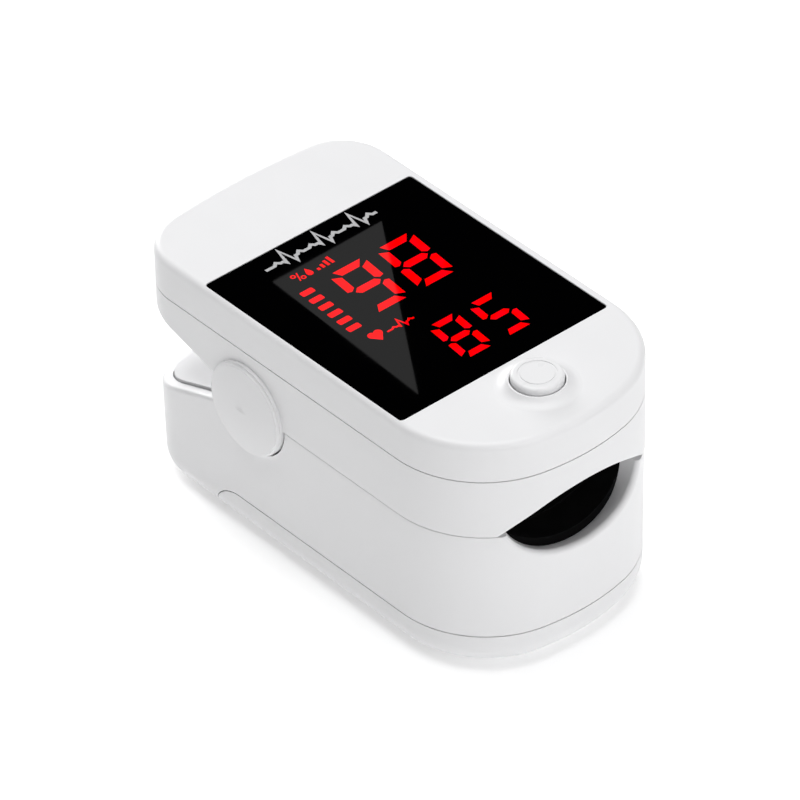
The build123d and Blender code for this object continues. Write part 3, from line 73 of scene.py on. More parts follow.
class Surface:
    """One Principled shader, with short calls for the procedural nodes that feed it."""

    def __init__(self, name, color, roughness, **constants):
        self.material = bpy.data.materials.new(name)
        self.material.use_nodes = True
        self.tree = self.material.node_tree
        self.shader = self.tree.nodes["Principled BSDF"]
        self.shader.inputs["Base Color"].default_value = (*color, 1)
        self.shader.inputs["Roughness"].default_value = roughness
        for socket, value in constants.items():
            self.shader.inputs[socket.replace("_", " ")].default_value = value
        self.place = self.add("ShaderNodeTexCoord").outputs["Object"]
        self.normal = None

    def add(self, kind, **settings):
        node = self.tree.nodes.new(kind)
        for key, value in settings.items():
            setattr(node, key, value)
        return node

    def feed(self, socket, value):
        """Puts a number, a colour or another node's output into a socket."""
        if isinstance(value, bpy.types.NodeSocket):
            self.tree.links.new(value, socket)
        elif value is not None:
            socket.default_value = value

    def noise(self, size, detail=2.0, stretch=(1, 1, 1), rough=0.5):
        """Noise with lumps of about that size in metres, stretched along the axes."""
        moved = self.add("ShaderNodeMapping")
        self.feed(moved.inputs["Vector"], self.place)
        moved.inputs["Scale"].default_value = [1 / s for s in stretch]
        node = self.add("ShaderNodeTexNoise")
        self.feed(node.inputs["Vector"], moved.outputs["Vector"])
        node.inputs["Scale"].default_value = 1 / size
        node.inputs["Detail"].default_value = detail
        node.inputs["Roughness"].default_value = rough
        return node.outputs["Fac"]

    def axis(self, letter):
        """The object's own X, Y or Z at each point."""
        node = self.add("ShaderNodeSeparateXYZ")
        self.feed(node.inputs["Vector"], self.place)
        return node.outputs[letter]

    def math(self, operation, first, second=None):
        node = self.add("ShaderNodeMath", operation=operation)
        for socket, value in zip(node.inputs, (first, second)):
            self.feed(socket, value)
        return node.outputs["Value"]

    def span(self, value, low, high, to_low=0.0, to_high=1.0):
        """Maps low..high to to_low..to_high, clamped."""
        node = self.add("ShaderNodeMapRange")
        self.feed(node.inputs["Value"], value)
        node.inputs["From Min"].default_value = low
        node.inputs["From Max"].default_value = high
        node.inputs["To Min"].default_value = to_low
        node.inputs["To Max"].default_value = to_high
        return node.outputs["Result"]

    def between(self, value, low, high, soft=0.02 * MM):
        """1 where value lies between low and high, with a soft edge."""
        rise = self.span(value, low - soft, low + soft)
        fall = self.span(value, high - soft, high + soft, 1.0, 0.0)
        return self.math("MULTIPLY", rise, fall)

    def stripes(self, value, pitch, share, soft=0.08):
        """1 on lines that repeat along value, each taking up a share of the pitch."""
        turn = self.math("PINGPONG", self.math("DIVIDE", value, pitch), 0.5)
        return self.span(turn, share / 2 + soft / 2, share / 2 - soft / 2)

    def reach(self, letter, centre):
        """Distance from a centre along one axis."""
        return self.math("ABSOLUTE", self.math("SUBTRACT", self.axis(letter), centre))

    def mix(self, share, first, second):
        node = self.add("ShaderNodeMix", data_type="RGBA")
        self.feed(node.inputs["Factor"], share)
        for socket, value in ((node.inputs[6], first), (node.inputs[7], second)):
            self.feed(socket, (*value, 1) if isinstance(value, tuple) else value)
        return node.outputs[2]

    def shade(self, color, share, amount):
        """The colour, darker by amount where share is 1."""
        return self.mix(share, color, tuple(c * (1 - amount) for c in color))

    def color(self, value):
        self.feed(self.shader.inputs["Base Color"], value)

    def rough(self, value):
        self.feed(self.shader.inputs["Roughness"], value)

    def mottle_rough(self, size, detail, low, high):
        """Roughness that drifts from low to high in patches of about that size."""
        self.rough(self.span(self.noise(size, detail), NOISE_LOW, NOISE_HIGH, low, high))

    def metal(self, value):
        self.feed(self.shader.inputs["Metallic"], value)

    def bump(self, height, depth):
        """Relief on top of what is there, depth metres high where height is 1."""
        node = self.add("ShaderNodeBump")
        node.inputs["Strength"].default_value = 1.0
        node.inputs["Distance"].default_value = depth
        self.feed(node.inputs["Height"], height)
        if self.normal is not None:
            self.feed(node.inputs["Normal"], self.normal)
        self.normal = node.outputs["Normal"]
        self.feed(self.shader.inputs["Normal"], self.normal)

    def soften_edges(self, radius):
        """Rounds the look of moulded edges, as a tool's own small radius does."""
        node = self.add("ShaderNodeBevel", samples=4)
        node.inputs["Radius"].default_value = radius
        self.normal = node.outputs["Normal"]
        self.feed(self.shader.inputs["Normal"], self.normal)


def moulded_white(name, color, roughness, grain, edge=0.1 * MM):
    """White plastic with a fine moulded grain and faint flow marks."""
    surface = Surface(name, color, roughness, Specular_IOR_Level=0.42)
    surface.soften_edges(edge)
    drift = surface.noise(11 * MM, 2, stretch=(1, 2.4, 1))
    surface.color(surface.shade(color, surface.span(drift, 0.35, 0.65), 0.012))
    surface.mottle_rough(3.2 * MM, 3, roughness - 0.035, roughness + 0.035)
    surface.bump(surface.noise(2.2 * MM, 2), 0.0016 * MM)
    surface.bump(surface.noise(0.16 * MM, 2), grain)
    return surface.material


def window_black():
    """Polished smoked acrylic: a hard gloss with a few faint hairlines."""
    surface = Surface(
        "window_black", (0.0003, 0.0003, 0.0004), 0.02, Specular_IOR_Level=0.5, IOR=1.49
    )
    hair = surface.noise(0.5 * MM, 2, stretch=(9, 0.4, 1))
    haze = surface.noise(6 * MM, 2)
    surface.rough(surface.math(
        "ADD",
        surface.span(hair, 0.66, 0.72, 0.0, 0.012),
        surface.span(haze, NOISE_LOW, NOISE_HIGH, 0.012, 0.022),
    ))
    return surface.material


def lit_red():
    """Red light from below a smoked window, with slightly cooler patches."""
    surface = Surface("lit_red", (0.2, 0.0, 0.0), 0.03, Specular_IOR_Level=0.5)
    patches = surface.span(surface.noise(1.4 * MM, 1), 0.42, 0.62)
    glow = surface.mix(patches, (1.0, 0.0, 0.0), (1.0, 0.0, 0.006))
    surface.feed(surface.shader.inputs["Emission Color"], glow)
    surface.shader.inputs["Emission Strength"].default_value = LIT_STRENGTH
    return surface.material


def emblem_silver():
    """Printed silver ink."""
    surface = Surface("emblem_silver", (0.5, 0.5, 0.51), 0.42, Metallic=0.25)
    flakes = surface.noise(0.09 * MM, 2)
    surface.color(surface.mix(surface.span(flakes, 0.35, 0.65), (0.43, 0.43, 0.44), (0.56, 0.56, 0.57)))
    surface.bump(flakes, 0.002 * MM)
    return surface.material


def pad_black():
    """Matt silicone with a dusty bloom in its fine grain."""
    color = (0.0042, 0.0042, 0.0044)
    surface = Surface("pad_black", color, 0.62, Specular_IOR_Level=0.06)
    bloom = surface.noise(1.8 * MM, 4, rough=0.65)
    surface.color(surface.mix(surface.span(bloom, 0.45, 0.75), color, (0.0062, 0.0062, 0.0065)))
    surface.rough(surface.span(bloom, NOISE_LOW, NOISE_HIGH, 0.56, 0.7))
    surface.bump(surface.noise(0.14 * MM, 2), 0.006 * MM)
    return surface.material


def board_green():
    """Solder mask over copper tracks."""
    mask = (0.012, 0.11, 0.045)
    surface = Surface("board_green", mask, 0.34, Specular_IOR_Level=0.5)
    tracks_x = surface.stripes(surface.axis("X"), 1.27 * MM, 0.32)
    tracks_y = surface.stripes(surface.axis("Y"), 2.54 * MM, 0.14)
    gate = surface.span(surface.noise(4.5 * MM, 0), 0.47, 0.53)
    tracks = surface.math(
        "MAXIMUM",
        surface.math("MULTIPLY", tracks_x, gate),
        surface.math("MULTIPLY", tracks_y, surface.math("SUBTRACT", 1.0, gate)),
    )
    surface.color(surface.mix(tracks, mask, (0.02, 0.19, 0.075)))
    surface.bump(tracks, 0.03 * MM)
    surface.bump(surface.noise(0.3 * MM, 2), 0.003 * MM)
    return surface.material


def dark_moulding(name, color, roughness):
    """Filled epoxy or a dark housing: a dense, slightly mottled grain."""
    surface = Surface(name, color, roughness, Specular_IOR_Level=0.4)
    speck = surface.noise(0.12 * MM, 3, rough=0.7)
    surface.color(surface.mix(surface.span(speck, 0.4, 0.75), color, tuple(c * 1.7 for c in color)))
    surface.mottle_rough(1.1 * MM, 2, roughness - 0.06, roughness + 0.06)
    surface.bump(speck, 0.004 * MM)
    return surface.material


CHIP_FOOT = 0.75 * MM
CHIP_FOOT_SOFT = 0.01 * MM


def chip_black():
    """Epoxy packages, with tinned feet where they reach out past the body."""
    surface = Surface("chip_black", (0.012, 0.012, 0.013), 0.5)
    speck = surface.noise(0.12 * MM, 3, rough=0.7)
    feet = None
    for name in ("control_chip", "power_chip"):
        low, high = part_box(name)
        half = (high.x - low.x) / 2
        reach = surface.reach("X", (low.x + high.x) / 2)
        beyond = surface.span(
            reach, half - CHIP_FOOT - CHIP_FOOT_SOFT, half - CHIP_FOOT + CHIP_FOOT_SOFT
        )
        near = surface.between(surface.axis("X"), low.x - MM, high.x + MM)
        here = surface.math("MULTIPLY", beyond, near)
        feet = here if feet is None else surface.math("ADD", feet, here)
    epoxy = surface.mix(surface.span(speck, 0.4, 0.75), (0.010, 0.010, 0.011), (0.021, 0.021, 0.022))
    surface.color(surface.mix(feet, epoxy, (0.55, 0.55, 0.53)))
    surface.metal(feet)
    surface.bump(speck, 0.004 * MM)
    return surface.material


def drawn_steel(name, color, roughness, stretch, size=0.25 * MM):
    """Steel with fine drawing or grinding lines along one way."""
    surface = Surface(name, color, roughness, Metallic=1.0)
    lines = surface.noise(size, 3, stretch=stretch)
    stain = surface.noise(1.7 * MM, 2)
    surface.color(surface.shade(color, surface.span(stain, 0.45, 0.7), 0.14))
    surface.rough(surface.span(lines, NOISE_LOW, NOISE_HIGH, roughness - 0.08, roughness + 0.1))
    surface.bump(lines, 0.002 * MM)
    return surface.material


def led_clear():
    """Two lenses of clear resin in a pale package, with the dies showing as darker squares."""
    resin = (0.74, 0.71, 0.62)
    surface = Surface("led_clear", resin, 0.16, Coat_Weight=0.6, Coat_Roughness=0.05)
    low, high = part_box("led_emitter")
    middle = (low.y + high.y) / 2
    side = surface.math("ABSOLUTE", surface.axis("X"))
    die_x = surface.between(side, 0.62 * MM, 0.98 * MM)
    die_y = surface.between(surface.axis("Y"), middle - 0.18 * MM, middle + 0.18 * MM)
    die = surface.math("MULTIPLY", die_x, die_y)
    surface.color(surface.mix(die, resin, (0.25, 0.12, 0.06)))
    surface.mottle_rough(0.6 * MM, 2, 0.1, 0.22)
    return surface.material


def detector_dark():
    """Dark infrared resin over a chequered sensor."""
    surface = Surface("detector_dark", (0.03, 0.012, 0.022), 0.12, Coat_Weight=0.7, Coat_Roughness=0.04)
    grid = surface.math(
        "MAXIMUM",
        surface.stripes(surface.axis("X"), 0.35 * MM, 0.12),
        surface.stripes(surface.axis("Y"), 0.35 * MM, 0.12),
    )
    surface.color(surface.mix(grid, (0.028, 0.011, 0.022), (0.07, 0.04, 0.05)))
    surface.bump(surface.noise(0.3 * MM, 2), 0.002 * MM)
    return surface.material


def ribbon_amber():
    """Polyimide film over copper tracks that run the ribbon's length."""
    surface = Surface("ribbon_amber", (0.42, 0.15, 0.02), 0.3, Coat_Weight=0.4, Coat_Roughness=0.12)
    tracks = surface.stripes(surface.axis("X"), 0.6 * MM, 0.5)
    surface.color(surface.mix(tracks, (0.36, 0.12, 0.015), (0.55, 0.24, 0.05)))
    surface.mottle_rough(0.9 * MM, 2, 0.24, 0.38)
    surface.bump(tracks, 0.02 * MM)
    return surface.material


def cell_jacket():
    """A shrunk sleeve: graphite, with a pale band round the raised pole's end."""
    graphite = (0.018, 0.022, 0.028)
    pale = (0.42, 0.62, 0.6)
    surface = Surface("cell_jacket", graphite, 0.28, Coat_Weight=0.5, Coat_Roughness=0.08)
    left = surface.span(surface.axis("X"), 0.01 * MM, -0.01 * MM)
    towards_pole = surface.math(
        "MULTIPLY", surface.axis("Y"), surface.math("SUBTRACT", surface.math("MULTIPLY", left, 2.0), 1.0)
    )
    band = surface.between(towards_pole, 14.0 * MM, 40.0 * MM)
    line = surface.between(towards_pole, 12.9 * MM, 13.4 * MM)
    printed = surface.mix(band, graphite, pale)
    surface.color(surface.mix(line, printed, (0.5, 0.5, 0.5)))
    surface.mottle_rough(2.6 * MM, 3, 0.22, 0.36)
    surface.bump(surface.noise(1.2 * MM, 2, stretch=(1, 5, 1)), 0.012 * MM)
    return surface.material


def studio_floor():
    """A pale sheet of acrylic, lit a little from below."""
    color = (0.93, 0.93, 0.93)
    surface = Surface("studio_floor", color, 0.7, Specular_IOR_Level=0.1)
    surface.color(surface.shade(color, surface.noise(40 * MM, 3), 0.01))
    surface.shader.inputs["Emission Color"].default_value = (1, 1, 1, 1)
    surface.shader.inputs["Emission Strength"].default_value = FLOOR_GLOW
    return surface.material


SLOT_MATERIALS = {
    "shell_white": moulded_white("shell_white", (0.83, 0.83, 0.84), 0.36, 0.0009 * MM),
    "bed_white": moulded_white("bed_white", (0.81, 0.81, 0.82), 0.48, 0.0022 * MM),
    "button_white": moulded_white("button_white", (0.84, 0.84, 0.85), 0.3, 0.0006 * MM, 0.06 * MM),
    "window_black": window_black(),
    "lit_red": lit_red(),
    "pad_black": pad_black(),
    "board_green": board_green(),
    "module_grey": dark_moulding("module_grey", (0.055, 0.055, 0.06), 0.5),
    "chip_black": chip_black(),
    "switch_steel": drawn_steel("switch_steel", (0.6, 0.6, 0.61), 0.32, (6, 1, 1)),
    "plunger_dark": dark_moulding("plunger_dark", (0.02, 0.02, 0.02), 0.42),
    "led_clear": led_clear(),
    "detector_dark": detector_dark(),
    "steel": drawn_steel("steel", (0.62, 0.62, 0.63), 0.22, (1, 8, 8)),
    "spring_steel": drawn_steel("spring_steel", (0.5, 0.49, 0.48), 0.26, (1, 1, 1), 0.4 * MM),
    "screw_steel": drawn_steel("screw_steel", (0.55, 0.56, 0.58), 0.3, (1, 1, 1)),
    "ribbon_amber": ribbon_amber(),
    "cell_jacket": cell_jacket(),
    "contact_nickel": drawn_steel("contact_nickel", (0.68, 0.66, 0.6), 0.28, (1, 1, 7)),
}


def dress_cad_nodes():
    """Gives each CAD node the material of its slot in the record."""
    for part in frame["record"]["subparts"]:
        mesh = nodes[part["node"]].data
        mesh.materials.clear()
        mesh.materials.append(SLOT_MATERIALS[part["material_slot"]])


# ------------------------------------------------------------------------ mesh helpers
def new_piece(name, mesh_maker, slot, body=None, smooth=True, material=None):
    """Makes a mesh object from a bmesh, dresses it and lets it ride on a body."""
    mesh = bpy.data.meshes.new(name)
    made = bmesh.new()
    mesh_maker(made)
    bmesh.ops.recalc_face_normals(made, faces=made.faces)
    made.to_mesh(mesh)
    made.free()
    mesh.materials.append(material or SLOT_MATERIALS[slot])
    if smooth:
        mesh.shade_smooth()
    piece = bpy.data.objects.new(name, mesh)
    bpy.context.scene.collection.objects.link(piece)
    if body:
        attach(piece, body)
    return piece


def on_circle(share, across, other):
    """A unit vector that has turned by that share of a circle, from across towards other."""
    return across * math.cos(2 * math.pi * share) + other * math.sin(2 * math.pi * share)


def sharp_at(piece, degrees):
    """Keeps edges that turn by more than some degrees crisp."""
    piece.data.set_sharp_from_angle(angle=math.radians(degrees))


# Rings of a wire's domed end, as shares of its radius past the last point.
DOME_SHARES = (0.35, 0.7, 0.96)


def tube(points, radius, sides=20):
    """Returns a maker of a round wire along points, with domed ends."""
    def build(made):
        heading = (points[1] - points[0]).normalized()
        leaving = (points[-1] - points[-2]).normalized()
        across = heading.orthogonal().normalized()
        rings = []
        steps = [(points[0], heading, -share) for share in reversed(DOME_SHARES)]
        steps += [(point, None, 0.0) for point in points]
        steps += [(points[-1], leaving, share) for share in DOME_SHARES]
        for index, (point, fixed, share) in enumerate(steps):
            place = min(max(index - len(DOME_SHARES), 0), len(points) - 1)
            before = points[max(place - 1, 0)]
            after = points[min(place + 1, len(points) - 1)]
            way = fixed or (after - before).normalized()
            across = (across - way * across.dot(way)).normalized()
            other = way.cross(across)
            ring_radius = radius * math.sqrt(1 - share * share)
            centre = point + way * radius * share
            rings.append([
                made.verts.new(centre + ring_radius * on_circle(k / sides, across, other))
                for k in range(sides)
            ])
        for first, second in zip(rings, rings[1:]):
            for k in range(sides):
                made.faces.new((first[k], first[(k + 1) % sides], second[(k + 1) % sides], second[k]))
        made.faces.new(rings[0])
        made.faces.new(rings[-1])
    return build


ON_AXIS = 0.001 * MM


def lathe(profile, origin, axis, segments=96):
    """Returns a maker of a turned shape: profile holds (radius, distance along the axis)."""
    def build(made):
        across = axis.orthogonal().normalized()
        other = axis.cross(across)
        rings = []
        for radius, along in profile:
            centre = origin + axis * along
            if radius < ON_AXIS:
                rings.append([made.verts.new(centre)])
                continue
            rings.append([
                made.verts.new(centre + radius * on_circle(k / segments, across, other))
                for k in range(segments)
            ])
        for first, second in zip(rings, rings[1:]):
            for k in range(segments):
                corners = [first[k % len(first)], first[(k + 1) % len(first)],
                           second[(k + 1) % len(second)], second[k % len(second)]]
                made.faces.new(list(dict.fromkeys(corners)))
    return build


def raised(outlines, base_z, height, soften):
    """Returns a maker of flat shapes standing on a plane, with softened upper edges."""
    def build(made):
        for outline in outlines:
            rings = []
            for inset, z in ((0, base_z), (0, base_z + height - soften), (soften, base_z + height)):
                rings.append([made.verts.new((x, y, z)) for x, y in shrink(outline, inset)])
            for first, second in zip(rings, rings[1:]):
                for k in range(len(outline)):
                    n = (k + 1) % len(outline)
                    made.faces.new((first[k], first[n], second[n], second[k]))
            made.faces.new(rings[0])
            made.faces.new(rings[-1])
        bmesh.ops.triangulate(made, faces=[f for f in made.faces if len(f.verts) > 4])
    return build


# The least cosine at a corner: sharper corners move no further than this one would.
SHARPEST_INSET = 0.35
SHARPEST_MITRE = 0.42


def shrink(outline, inset):
    """Moves each corner of a closed outline inwards, along the bisector of its two edges."""
    if not inset:
        return outline
    area = sum(a[0] * b[1] - b[0] * a[1] for a, b in zip(outline, outline[1:] + outline[:1]))
    turn = 1 if area > 0 else -1
    moved = []
    for k, corner in enumerate(outline):
        here = Vector(corner)
        back = (here - Vector(outline[k - 1])).normalized()
        ahead = (Vector(outline[(k + 1) % len(outline)]) - here).normalized()
        normals = [Vector((-way.y, way.x)) * turn for way in (back, ahead)]
        bisector = (normals[0] + normals[1]).normalized()
        reach = inset / max(bisector.dot(normals[0]), SHARPEST_INSET)
        moved.append(tuple(here + bisector * reach))
    return moved


def stroke(points, width):
    """The outline of a line of that width through (x, y) points, mitred at its corners."""
    left, right = [], []
    for k, point in enumerate(points):
        here = Vector(point)
        back = (here - Vector(points[k - 1])).normalized() if k else None
        ahead = (Vector(points[k + 1]) - here).normalized() if k + 1 < len(points) else None
        ways = [way for way in (back, ahead) if way is not None]
        normals = [Vector((-way.y, way.x)) for way in ways]
        across = sum(normals, Vector((0, 0))).normalized()
        reach = width / 2 / max(across.dot(normals[0]), SHARPEST_MITRE)
        left.append(tuple(here + across * reach))
        right.append(tuple(here - across * reach))
    return left + right[::-1]


# ------------------------------------------------------------------------ marks on the window
MARK_HEIGHT = 0.02 * MM
MARK_SOFTEN = 0.006 * MM
EMBLEM_STROKE = 0.42 * MM
TRACE_STROKE = 0.24 * MM
BAR_COUNT = 4
BAR_START_X = -4.35 * MM
BAR_BASE_Y = 9.75 * MM
BAR_PITCH = 0.66 * MM
BAR_WIDTH = 0.36 * MM
BAR_HEIGHT = 0.4 * MM
BAR_GROWTH = 0.3 * MM


def pulse_wave(start, y, beat, beats, height, lead):
    """Points of a heartbeat trace: flat, a small rise, a tall spike with a dip, then flat."""
    shape = [(0.16, 0.0), (0.24, 0.2), (0.32, 0.0), (0.40, 0.0), (0.45, -0.2),
             (0.56, 1.0), (0.68, -0.45), (0.75, 0.0), (0.82, 0.0), (0.90, 0.22), (0.98, 0.0)]
    points = [(start, y)]
    for k in range(beats):
        left = start + lead + k * beat
        points += [(left + along * beat, y + rise * height) for along, rise in shape]
    points.append((start + 2 * lead + beats * beat, y))
    return points


def window_emblem():
    """A silver pulse wave in the place of a name, across the top of the window."""
    points = pulse_wave(
        start=-8.7 * MM, y=13.55 * MM, beat=5.0 * MM, beats=3, height=1.9 * MM, lead=0.5 * MM
    )
    new_piece(
        "window_emblem", raised([stroke(points, EMBLEM_STROKE)], window_top, MARK_HEIGHT, MARK_SOFTEN),
        "screw_steel", "upper_half", smooth=False, material=emblem_silver(),
    )


def drop_outline(centre, size, steps=28):
    """A drop about as high as size: a round bottom that draws up to a point."""
    outline = []
    for k in range(steps):
        turn = 2 * math.pi * k / steps
        pinch = math.sin(turn / 2) ** 1.6
        outline.append((
            centre[0] + size * 0.5 * math.sin(turn) * pinch,
            centre[1] + size * (0.62 * math.cos(turn) + 0.02),
        ))
    return outline


def window_glyphs():
    """Small lit marks: a drop and rising bars beside the percent sign, a pulse by the heart."""
    drop = drop_outline((-5.35 * MM, 10.35 * MM), 1.15 * MM)
    bars = []
    for k in range(BAR_COUNT):
        left = BAR_START_X + k * BAR_PITCH
        right = left + BAR_WIDTH
        top = BAR_BASE_Y + BAR_HEIGHT + k * BAR_GROWTH
        bars.append([(left, BAR_BASE_Y), (right, BAR_BASE_Y), (right, top), (left, top)])
    pulse = pulse_wave(
        start=-6.05 * MM, y=-3.62 * MM, beat=3.4 * MM, beats=1, height=1.0 * MM, lead=0.2 * MM
    )
    trace = stroke(pulse, TRACE_STROKE)
    new_piece(
        "window_glyphs", raised([drop, *bars, trace], window_top, MARK_HEIGHT, MARK_SOFTEN),
        "lit_red", "upper_half", smooth=False,
    )


# ------------------------------------------------------------------------ springs and ribbon
SPRING_COIL = 1.75 * MM
SPRING_WIRE = 0.28 * MM
SPRING_INNER = 6.6 * MM
SPRING_TURNS = 4
SPRING_GAP = 0.12 * MM
SPRING_LEG = 8.2 * MM
SPRING_LEG_STEPS = 12
SPRING_COIL_STEPS = 220
# How far each leg slopes from level, in degrees.
LOWER_LEG = 28
UPPER_LEG = 25


def torsion_spring(side, side_name):
    """A coil round the hinge pin, with a straight lower leg from its inner end and an upper leg from its outer
    end; it rides on neither jaw."""
    root = math.radians(90 - LOWER_LEG)
    wrap = math.radians(360 * SPRING_TURNS - (90 - LOWER_LEG) - (90 - UPPER_LEG))
    pitch = 2 * SPRING_WIRE + SPRING_GAP

    def at(share):
        turn = root + wrap * share
        along = SPRING_INNER + pitch * wrap * share / (2 * math.pi)
        return Vector((
            side * along, hinge.y + SPRING_COIL * math.cos(turn), hinge.z + SPRING_COIL * math.sin(turn)
        ))

    coil = [at(k / SPRING_COIL_STEPS) for k in range(SPRING_COIL_STEPS + 1)]
    first_way = (at(0) - at(0.001)).normalized()
    last_way = (at(1) - at(0.999)).normalized()
    shares = [k / SPRING_LEG_STEPS for k in range(SPRING_LEG_STEPS)]
    lower = [coil[0] + first_way * SPRING_LEG * (1 - share) for share in shares]
    upper = [coil[-1] + last_way * SPRING_LEG * (1 - share) for share in reversed(shares)]
    name = f"spring_wire_{side_name}"
    piece = new_piece(name, tube(lower + coil + upper, SPRING_WIRE), "spring_steel")
    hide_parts(f"torsion_spring_{side_name}")
    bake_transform(piece)


RIBBON_THICKNESS = 0.3 * MM
RIBBON_BEND = 1.3 * MM
RIBBON_FLAT_STEPS = 6
RIBBON_BEND_STEPS = 12
RIBBON_RISE_STEPS = 36


def sensor_ribbon():
    """The flat ribbon from the detector's board up through the hinge axis."""
    low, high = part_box("sensor_flex")
    thick = RIBBON_THICKNESS
    bend = RIBBON_BEND
    floor_z = low.z + thick / 2
    rise_y = high.y - thick / 2
    flat = rise_y - bend - low.y
    line = [
        Vector((0, low.y + flat * k / RIBBON_FLAT_STEPS, floor_z)) for k in range(RIBBON_FLAT_STEPS)
    ]
    for k in range(RIBBON_BEND_STEPS + 1):
        turn = math.radians(90 * k / RIBBON_BEND_STEPS)
        line.append(Vector((
            0, rise_y - bend + bend * math.sin(turn), floor_z + bend * (1 - math.cos(turn))
        )))
    start_z = line[-1].z
    step = (high.z - start_z) / RIBBON_RISE_STEPS
    line += [Vector((0, rise_y, start_z + step * (k + 1))) for k in range(RIBBON_RISE_STEPS)]

    def build(made):
        rounding = 0.3 * thick
        half = (high.x - low.x) / 2
        section = [(half, rounding), (half, thick - rounding), (half - rounding, thick),
                   (rounding - half, thick), (-half, thick - rounding), (-half, rounding),
                   (rounding - half, 0), (half - rounding, 0)]
        rings = []
        for k, point in enumerate(line):
            way = (line[min(k + 1, len(line) - 1)] - line[max(k - 1, 0)]).normalized()
            normal = Vector((1, 0, 0)).cross(way)
            rings.append([
                made.verts.new(point + Vector((x, 0, 0)) + normal * (t - thick / 2)) for x, t in section
            ])
        for first, second in zip(rings, rings[1:]):
            for k in range(len(section)):
                n = (k + 1) % len(section)
                made.faces.new((first[k], first[n], second[n], second[k]))
        made.faces.new(rings[0])
        made.faces.new(rings[-1])

    piece = new_piece("sensor_ribbon", build, "ribbon_amber")
    sharp_at(piece, 35)
    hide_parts("sensor_flex")
    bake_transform(piece)


# ------------------------------------------------------------------------ cells
CELL_NUB = 1.2 * MM
POLE_RADIUS = 1.9 * MM


def cell(side_name):
    """A cell as it is made: a sleeve shrunk over a can, a washer and a raised pole."""
    low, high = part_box(f"battery_{side_name}")
    centre = (low + high) / 2
    radius = (high.x - low.x) / 2
    way = 1 if side_name == "left" else -1
    length = high.y - low.y
    origin = Vector((centre.x, low.y if way > 0 else high.y, centre.z))
    axis = Vector((0, way, 0))
    can = length - CELL_NUB
    # Both profiles hold (radius, distance from the flat pole's end).
    sleeve = [
        (0.0, 0.12 * MM), (radius * 0.62, 0.12 * MM), (radius * 0.68, 0.22 * MM),
        (radius * 0.8, 0.22 * MM), (radius * 0.84, 0.0), (radius * 0.93, 0.0),
        (radius * 0.985, 0.16 * MM), (radius, 0.42 * MM), (radius, can - 0.42 * MM),
        (radius * 0.985, can - 0.16 * MM), (radius * 0.93, can), (radius * 0.8, can),
        (radius * 0.77, can - 0.22 * MM), (radius * 0.4, can - 0.22 * MM),
        (0.0, can - 0.22 * MM),
    ]
    body = new_piece(f"cell_{side_name}", lathe(sleeve, origin, axis), "cell_jacket", "lower_half")
    sharp_at(body, 50)
    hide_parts(f"battery_{side_name}")
    pole = [
        (0.0, can - 0.3 * MM), (POLE_RADIUS + 0.9 * MM, can - 0.3 * MM),
        (POLE_RADIUS + 0.9 * MM, can - 0.1 * MM), (POLE_RADIUS + 0.25 * MM, can - 0.06 * MM),
        (POLE_RADIUS, can + 0.1 * MM), (POLE_RADIUS, length - 0.3 * MM),
        (POLE_RADIUS - 0.1 * MM, length - 0.08 * MM), (POLE_RADIUS - 0.3 * MM, length),
        (0.0, length),
    ]
    cap = new_piece(f"cell_pole_{side_name}", lathe(pole, origin, axis, 64), "contact_nickel", "lower_half")
    sharp_at(cap, 50)


# ------------------------------------------------------------------------ camera and studio
# Angles in degrees; the lens and its sensor in the camera's own millimetres.
AZIMUTH = -40.186
ELEVATION = 38.07
ROLL = -1.476
EYE_DISTANCE = 780.2 * MM
LENS = 323.5
SENSOR = 36.0
AIM = Vector((-5.43, -4.69, 22.55)) * MM
LAMP_AIM = Vector((0, 0, 15)) * MM
FLOOR_HALF = 3.0
# The glare's corners in the window's plane, and how far past it the card stands.
GLARE_CORNERS = [(-9.4, 11.6), (6.6, 11.9), (-10.8, -14.1)]
GLARE_REACH = 160 * MM
GLARE_STRENGTH = 0.43
SURROUND_STRENGTH = 0.01


def add_camera():
    """A long lens that looks down on the display from the mouth's left."""
    data = bpy.data.cameras.new("camera")
    data.lens = LENS
    data.sensor_width = SENSOR
    camera = bpy.data.objects.new("camera", data)
    bpy.context.scene.collection.objects.link(camera)
    turn = math.radians(AZIMUTH)
    lift = math.radians(ELEVATION)
    back = Vector((math.sin(turn) * math.cos(lift), -math.cos(turn) * math.cos(lift), math.sin(lift)))
    right = Vector((math.cos(turn), math.sin(turn), 0))
    level = Matrix((right, back.cross(right), back)).transposed()
    camera.matrix_world = (
        Matrix.Translation(AIM + back * EYE_DISTANCE)
        @ level.to_4x4()
        @ Matrix.Rotation(math.radians(ROLL), 4, "Z")
    )
    bpy.context.scene.camera = camera
    return camera


def softbox(name, place, size, power):
    """A large square lamp that faces the object; place and size are in metres, power in watts."""
    data = bpy.data.lights.new(name, "AREA")
    data.shape = "SQUARE"
    data.size = size
    data.energy = power
    lamp = bpy.data.objects.new(name, data)
    bpy.context.scene.collection.objects.link(lamp)
    lamp.location = place
    lamp.rotation_euler = (Vector(place) - LAMP_AIM).to_track_quat("Z", "Y").to_euler()


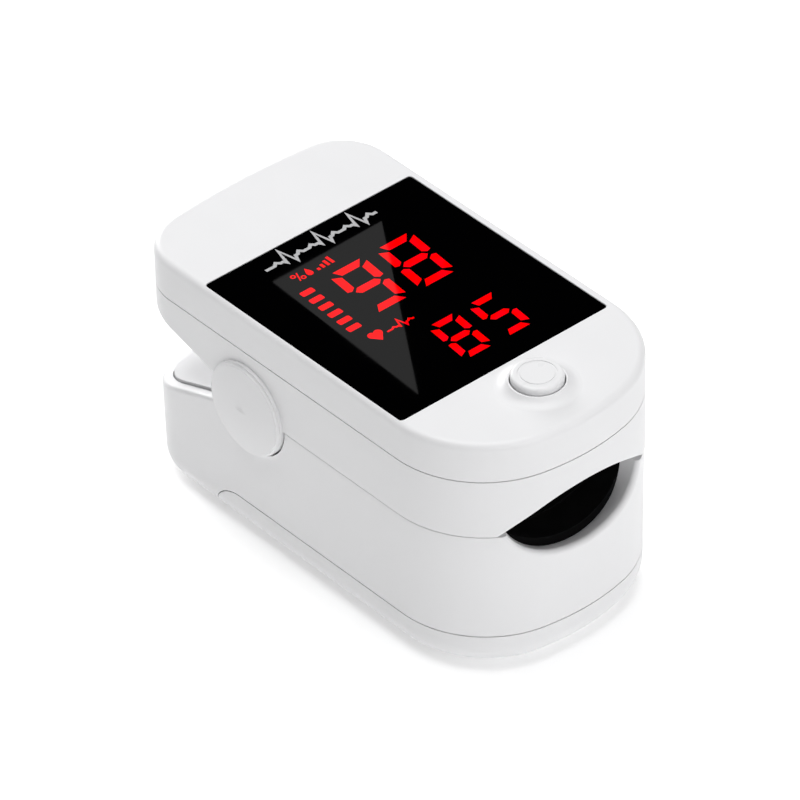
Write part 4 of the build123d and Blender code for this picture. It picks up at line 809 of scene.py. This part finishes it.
def glare_card(camera):
    """A dim three-cornered card above and behind, which the window mirrors to the camera."""
    eye = camera.matrix_world.translation
    mirrored_eye = Vector((eye.x, eye.y, 2 * window_top - eye.z))
    mesh = bpy.data.meshes.new("glare_card")
    points = []
    for x, y in GLARE_CORNERS:
        seen = Vector((x * MM, y * MM, window_top))
        points.append(seen + (seen - mirrored_eye).normalized() * GLARE_REACH)
    mesh.from_pydata(points, [], [(0, 1, 2)])
    material = bpy.data.materials.new("glare_card")
    material.use_nodes = True
    shader = material.node_tree.nodes["Principled BSDF"]
    shader.inputs["Base Color"].default_value = (0, 0, 0, 1)
    shader.inputs["Specular IOR Level"].default_value = 0
    shader.inputs["Emission Color"].default_value = (1, 1, 1, 1)
    shader.inputs["Emission Strength"].default_value = GLARE_STRENGTH
    mesh.materials.append(material)
    card = bpy.data.objects.new("glare_card", mesh)
    bpy.context.scene.collection.objects.link(card)
    card.visible_camera = False
    card.visible_diffuse = False
    card.visible_shadow = False
    card.visible_transmission = False


def add_floor():
    """A wide sheet at the height that the oximeter rests on."""
    mesh = bpy.data.meshes.new("floor")
    corners = [(x * FLOOR_HALF, y * FLOOR_HALF, 0) for x, y in ((-1, -1), (1, -1), (1, 1), (-1, 1))]
    mesh.from_pydata(corners, [], [(0, 1, 2, 3)])
    mesh.materials.append(studio_floor())
    floor = bpy.data.objects.new("floor", mesh)
    bpy.context.scene.collection.objects.link(floor)


def add_world(strength):
    """An even pale surround that lights matt surfaces only."""
    world = bpy.data.worlds.new("surround")
    world.use_nodes = True
    world.node_tree.nodes["Background"].inputs["Color"].default_value = (1, 1, 1, 1)
    world.node_tree.nodes["Background"].inputs["Strength"].default_value = strength
    world.cycles_visibility.glossy = False
    bpy.context.scene.world = world


def add_studio():
    """Camera, lamps, surround, glare and floor, shown without any tone curve."""
    camera = add_camera()
    add_world(SURROUND_STRENGTH)
    softbox("top_box", place=(0.0, 0.1, 1.1), size=0.9, power=11.0)
    softbox("front_box", place=(0.15, -1.0, 0.5), size=0.8, power=3.4)
    softbox("left_box", place=(-0.3, -1.0, 0.4), size=0.6, power=1.7)
    softbox("rear_box", place=(0.25, 1.0, 0.33), size=0.6, power=6.3)
    glare_card(camera)
    add_floor()
    scene = bpy.context.scene
    scene.view_settings.view_transform = "Standard"
    scene.view_settings.look = "None"
    scene.view_settings.exposure = 0.0
    scene.view_settings.gamma = 1.0


# ------------------------------------------------------------------------ build
dress_cad_nodes()
window_emblem()
window_glyphs()
for way, way_name in ((-1, "left"), (1, "right")):
    torsion_spring(way, way_name)
    cell(way_name)
sensor_ribbon()
add_studio()
